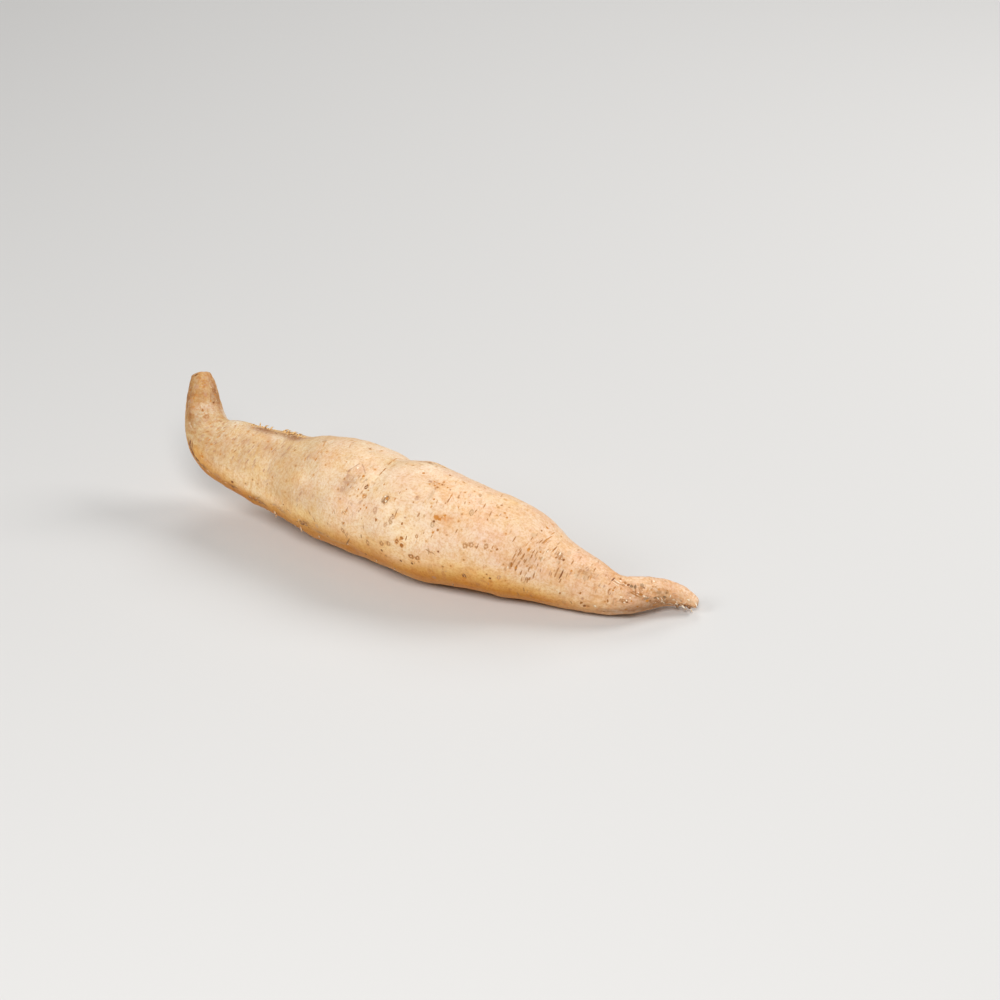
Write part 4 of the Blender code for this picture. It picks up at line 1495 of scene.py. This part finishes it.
def mark_layer(tree, index):
    """What one layer of marks shows: how stained, pale, bleached and dark the skin is, and its ink."""
    inside = read_points(tree, f"inside_{index}")
    shape = add_node(tree, "Attribute", attribute_name=f"shape_{index}")
    ink = add_node(tree, "Attribute", attribute_name=f"ink_{index}")
    hole = ink.outputs["Alpha"]
    outline, middle, halo = add_node(tree, "SeparateColor", {0: shape.outputs["Color"]}).outputs
    wobble = add_node(tree, "TexNoise", {"Vector": inside, "Scale": 1.3, "Detail": 2.0}).outputs["Color"]
    wobble = vector_maths(tree, "SUBTRACT", wobble, (0.5, 0.5, 0.5))
    wobble = vector_maths(tree, "MULTIPLY", wobble, (1.2, 1.2, 0))
    moved = vector_maths(tree, "ADD", vector_maths(tree, "MULTIPLY", inside, (1, 1, 0)), wobble)
    out = add_node(tree, "VectorMath", {0: moved}, operation="LENGTH").outputs["Value"]
    patches = add_node(tree, "TexNoise", {"Vector": inside, "Scale": 2.4, "Detail": 2.0}).outputs["Color"]
    worn, flaky, _ = add_node(tree, "SeparateXYZ", {0: patches}).outputs
    core = between(tree, out, 1.16, 0.70)
    wall = between(tree, out, less(tree, hole, 0.16), maths(tree, "ADD", hole, 0.12))
    rim = times(tree, times(tree, core, wall), between(tree, worn, 0.28, 0.50))
    thin = times(tree, less(tree, 1.0, middle), 0.6)
    filled = times(tree, times(tree, core, middle), between(tree, worn, thin, maths(tree, "ADD", thin, 0.12)))
    dark = maths(tree, "MAXIMUM", times(tree, rim, outline), filled)
    stain = times(tree, times(tree, between(tree, out, 1.7, 0.4), between(tree, flaky, 0.30, 0.60)), halo)
    pale = times(tree, between(tree, out, 1.6, 1.0), shape.outputs["Alpha"])
    bleached = times(tree, times(tree, core, between(tree, flaky, 0.35, 0.60)), shape.outputs["Alpha"])
    return stain, pale, bleached, dark, ink.outputs["Color"]


def skin_material():
    """Pale dry skin: cream to ochre, with streaks, fibres, blotches, specks, slits and scars."""
    material = bpy.data.materials.new("raw_skin")
    material.use_nodes = True
    tree = material.node_tree
    shader = tree.nodes["Principled BSDF"]
    grown = read_points(tree, "grown")
    wear = add_node(tree, "SeparateXYZ", {0: read_points(tree, "wear")})
    streaky, fibrous, blotchy = wear.outputs
    rough = read_points(tree, "rough", "Fac")
    drift = noise_at(tree, grown, (9, 9, 9), 1).outputs["Color"]
    drift = vector_maths(tree, "MULTIPLY", drift, (DRIFT,) * 3)
    drifted = vector_maths(tree, "ADD", grown, drift)

    # Clouds of gold and rose, then small blotches of brown and rose
    colour = read_points(tree, "tint", "Color")
    golden, rosy, patchy = three_noises(tree, grown, (12, 10, 10), 3)
    colour = mottle(tree, colour, golden, 1.0, (0.98, 0.91, 0.77), (1.01, 1.04, 1.10))
    colour = mottle(tree, colour, rosy, 1.0, (0.97, 0.90, 0.87), (1.0, 1.02, 1.0))
    brown, ruddy, pitted = three_noises(tree, drifted, (1.7, 2.4, 2.4), 3)
    colour = mottle(tree, colour, brown, blotchy, (0.91, 0.80, 0.65), (1.01, 1.05, 1.12))
    colour = mottle(tree, colour, ruddy, blotchy, (0.94, 0.84, 0.80), (1.01, 1.02, 1.0))

    # Streaks round the root, which come and go, and fibres along it
    patchy = times(tree, reach(tree, between(tree, patchy, 0.40, 0.60), 0.15, 1.0), streaky)
    broad, tawny, _ = three_noises(tree, drifted, (1.4, 4.5, 4.5), 2)
    colour = mottle(tree, colour, broad, streaky, (0.97, 0.92, 0.85), (1.01, 1.02, 1.04))
    colour = mottle(tree, colour, tawny, patchy, (0.93, 0.86, 0.80), (1.0, 1.0, 1.0))
    fine, faint, _ = three_noises(tree, drifted, (1.0, 3.2, 3.2), 2)
    colour = mottle(tree, colour, fine, patchy, (0.92, 0.84, 0.75), (1.01, 1.06, 1.14))
    colour = mottle(tree, colour, faint, 0.4, (0.94, 0.89, 0.82), (1.01, 1.04, 1.08))
    fibres = noise_at(tree, drifted, (6.0, 1.1, 1.1), 2, 0.6).outputs["Fac"]
    colour = mottle(tree, colour, fibres, fibrous, (0.93, 0.85, 0.76), (1.01, 1.06, 1.13))

    # Grain, short slits round the root, and specks with a stained edge
    grain = noise_at(tree, grown, (0.8, 0.85, 0.85), 1, 0.7).outputs["Fac"]
    colour = mottle(tree, colour, grain, 0.8, (0.90, 0.79, 0.66), (1.02, 1.08, 1.18))
    many = reach(tree, read_points(tree, "slitted", "Fac"), 0.10, 1.0)
    slits, beside, hue = scattered_dots(tree, drifted, (1.4, 5.0, 5.0), 0.25, many)
    colour = tone(tree, times(tree, beside, 0.8), colour, (0.98, 0.88, 0.76))
    brownish = blend(tree, hue, plain("slit"), plain("grey slit"))
    colour = blend(tree, times(tree, slits, 0.75), colour, brownish)
    specks, beside, hue = scattered_dots(tree, grown, (3.0, 3.0, 3.0), 0.19, 0.45)
    colour = tone(tree, times(tree, beside, 0.8), colour, (0.96, 0.82, 0.62))
    rusty = blend(tree, hue, plain("speck"), plain("dark speck"))
    colour = blend(tree, times(tree, specks, 0.8), colour, rusty)

    # Torn places: brown gaps between pale fibres, the brown partly dry tissue and partly painted shade
    torn, bare, _ = three_noises(tree, drifted, (1.8, 1.2, 1.2), 2)
    colour = tone(tree, rough, colour, (0.92, 0.84, 0.76))
    gaps = times(tree, between(tree, torn, 0.52, 0.62), rough)
    colour = blend(tree, gaps, colour, plain("torn gap and shade"))
    bared = times(tree, between(tree, bare, 0.57, 0.66), rough)
    colour = blend(tree, bared, colour, plain("bare fibre"))

    # Height of all these for the bump, then the marks, layer by layer
    depth = times(tree, grain, 0.3)
    depth = less(tree, depth, times(tree, times(tree, fine, patchy), 0.9))
    depth = less(tree, depth, times(tree, times(tree, fibres, fibrous), 0.8))
    depth = less(tree, depth, times(tree, times(tree, torn, rough), 2.4))
    depth = less(tree, depth, times(tree, slits, 0.8))
    for index in range(LAYERS):
        stain, pale, bleached, dark, ink = mark_layer(tree, index)
        colour = tone(tree, times(tree, stain, 0.95), colour, (0.94, 0.74, 0.48))
        colour = tone(tree, pale, colour, (1.02, 1.08, 1.18))
        colour = blend(tree, times(tree, bleached, 0.7), colour, plain("bleached"))
        colour = blend(tree, dark, colour, ink)
        depth = less(tree, depth, times(tree, dark, 0.4))

    # The dried stem cut
    cut = read_points(tree, "cut", "Fac")
    radial = noise_at(tree, grown, (9, 0.7, 0.7), 3, 0.7).outputs["Fac"]
    dry = blend(tree, between(tree, radial, 0.35, 0.62), plain("dry cut"), plain("dark cut"))
    colour = blend(tree, cut, colour, dry)
    depth = less(tree, depth, times(tree, times(tree, cut, radial), 2.0))

    tree.links.new(colour, shader.inputs["Base Color"])
    bump = add_node(tree, "Bump", {"Strength": 1.0, "Distance": 0.14 * MM, "Height": depth})
    tree.links.new(bump.outputs["Normal"], shader.inputs["Normal"])
    tree.links.new(reach(tree, pitted, 0.50, 0.70), shader.inputs["Roughness"])
    shader.inputs["Specular IOR Level"].default_value = 0.22
    shader.inputs["Sheen Weight"].default_value = 0.05
    shader.inputs["Sheen Roughness"].default_value = 0.4
    return material


def fibre_material(name, pale, dark):
    """A dry, fibrous finish that goes between two colours."""
    material = bpy.data.materials.new(name)
    material.use_nodes = True
    tree = material.node_tree
    shader = tree.nodes["Principled BSDF"]
    where = add_node(tree, "TexCoord").outputs["Object"]
    pattern = noise_at(tree, where, (0.9, 0.9, 0.9), 3, 0.6).outputs["Fac"]
    colour = blend(tree, between(tree, pattern, 0.46, 0.60), (*pale, 1), (*dark, 1))
    tree.links.new(colour, shader.inputs["Base Color"])
    bump = add_node(tree, "Bump", {"Strength": 0.8, "Distance": 0.1 * MM, "Height": pattern})
    tree.links.new(bump.outputs["Normal"], shader.inputs["Normal"])
    shader.inputs["Roughness"].default_value = 0.75
    shader.inputs["Specular IOR Level"].default_value = 0.3
    return material


# The whole root

def make_skin(camera):
    """The whole skin, which stands for the root's solid. Also gives the shape that rays are cast on."""
    skin = copy_of_part()
    mesh = skin.data
    places = points_of(mesh)
    facing = normals_of(mesh)
    tree = BVHTree.FromPolygons(places.tolist(), [list(face.vertices) for face in mesh.polygons])
    marks = all_marks(camera, tree, places, facing)
    layers = share_out(marks)
    for index, layer in enumerate(layers):
        draw_layer(mesh, index, layer, places, facing)
    grown = grown_places(places, nearest_steps(places))
    rough = spread_of(ROUGH_PLACES, camera, tree, places)
    colours = touch_up(tints_of(grown), camera, tree, places)
    shape_skin(skin, marks, grown, rough)
    keep_on_points(mesh, "grown", "FLOAT_VECTOR", grown)
    keep_on_points(mesh, "wear", "FLOAT_VECTOR", wear_of(grown))
    keep_on_points(mesh, "rough", "FLOAT", rough)
    keep_on_points(mesh, "slitted", "FLOAT", spread_of(SLIT_PLACES, camera, tree, places))
    keep_on_points(mesh, "cut", "FLOAT", cut_of(grown))
    keep_on_points(mesh, "tint", "FLOAT_COLOR", np.column_stack((colours, np.ones(len(colours)))))
    mesh.materials.append(skin_material())
    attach(skin, "root")
    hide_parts(NODE)
    return tree


def strand_path(camera, tree, pixels):
    """The places that a strand runs through, from under the skin at its first pixel."""
    base, facing = seen_place(camera, tree, *pixels[0])
    stand = np.array(camera.matrix_world.translation)
    view = -np.array(camera.matrix_world.to_3x3().col[2])
    depth = (base - stand) @ view
    path = [base - facing * ROOTED]
    for across, down in pixels[1:]:
        ray = np.array(pixel_ray(camera, across, down)[1])
        path.append(stand + ray * depth / (ray @ view))
    return [Vector(place) for place in path]


def make_strand(camera, tree, thick, thin, pixels):
    """One tapering strand, drawn out of a small disc step by step."""
    path = strand_path(camera, tree, pixels)
    turn = (path[1] - path[0]).to_track_quat("Z", "Y").to_euler()
    deselect_all()
    bpy.ops.mesh.primitive_circle_add(
        vertices=7, radius=thick * MM / 2, fill_type="NGON", location=path[0], rotation=turn)
    bpy.ops.object.mode_set(mode="EDIT")
    bpy.ops.mesh.select_all(action="SELECT")
    narrower = (thin / thick) ** (1 / (len(path) - 1))
    for here, there in zip(path, path[1:]):
        bpy.ops.mesh.extrude_region_move(
            TRANSFORM_OT_translate={"value": there - here, "orient_type": "GLOBAL"})
        bpy.ops.transform.resize(value=(narrower,) * 3, center_override=there)
    bpy.ops.mesh.select_all(action="SELECT")
    bpy.ops.mesh.normals_make_consistent(inside=False)
    bpy.ops.object.mode_set(mode="OBJECT")
    strand = bpy.context.object
    apply_modifier(strand, "SUBSURF", levels=1, render_levels=1)
    return strand


def make_crumb():
    """One crumb of bark at the origin, a millimetre long: a flake with a bent, broken outline."""
    deselect_all()
    bpy.ops.mesh.primitive_cube_add(size=1 * MM)
    crumb = bpy.context.object
    bpy.ops.object.mode_set(mode="EDIT")
    bpy.ops.mesh.select_all(action="SELECT")
    bpy.ops.mesh.subdivide(number_cuts=1)
    bpy.ops.transform.resize(value=CRUMB_SHAPE, center_override=(0, 0, 0))
    bpy.ops.transform.vertex_random(offset=0.16 * MM, seed=5)
    bpy.ops.object.mode_set(mode="OBJECT")
    apply_modifier(crumb, "SUBSURF", levels=1, render_levels=1)
    return crumb


def place_crumb(camera, tree, pattern, across, down, length, thickness):
    """A copy of the crumb, lying on the skin about along the root."""
    place, facing = seen_place(camera, tree, across, down)
    crumb = pattern.copy()
    crumb.data = pattern.data.copy()
    bpy.context.scene.collection.objects.link(crumb)
    run = Vector(skin_axes(place, facing)[1])
    crumb.rotation_euler = run.to_track_quat("X", "Z").to_euler()
    crumb.rotation_euler.rotate_axis("X", random.uniform(0, math.pi))
    crumb.rotation_euler.rotate_axis("Z", random.uniform(-CRUMB_TURN, CRUMB_TURN))
    crumb.scale = (length, thickness / CRUMB_SHAPE[1], CRUMB_FLATNESS * thickness / CRUMB_SHAPE[2])
    crumb.location = Vector(place) - Vector(facing) * CRUMB_DEPTH
    return crumb


def make_fragments(camera, tree):
    """The crumbs of bark, the rootlets and the shreds of the tail, each kind joined to one piece."""
    pattern = make_crumb()
    for name, finish in LOOSE_FINISHES.items():
        parts = [make_strand(camera, tree, *row[1:]) for row in STRANDS if row[0] == name]
        parts += [place_crumb(camera, tree, pattern, *row[1:]) for row in CRUMBS if row[0] == name]
        deselect_all()
        for part in parts:
            part.select_set(True)
        bpy.context.view_layer.objects.active = parts[0]
        bpy.ops.object.join()
        piece = bpy.context.object
        bpy.ops.object.transform_apply(location=True, rotation=True, scale=True)
        bpy.ops.object.mode_set(mode="EDIT")
        bpy.ops.mesh.select_all(action="SELECT")
        bpy.ops.mesh.normals_make_consistent(inside=False)
        bpy.ops.object.mode_set(mode="OBJECT")
        bpy.ops.object.shade_smooth()
        piece.name = name
        piece.data.materials.clear()
        piece.data.materials.append(fibre_material(*finish))
        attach(piece, "root")
    bpy.data.objects.remove(pattern, do_unlink=True)


camera = make_camera()
light_studio()
make_floor()
skin_tree = make_skin(camera)
make_fragments(camera, skin_tree)
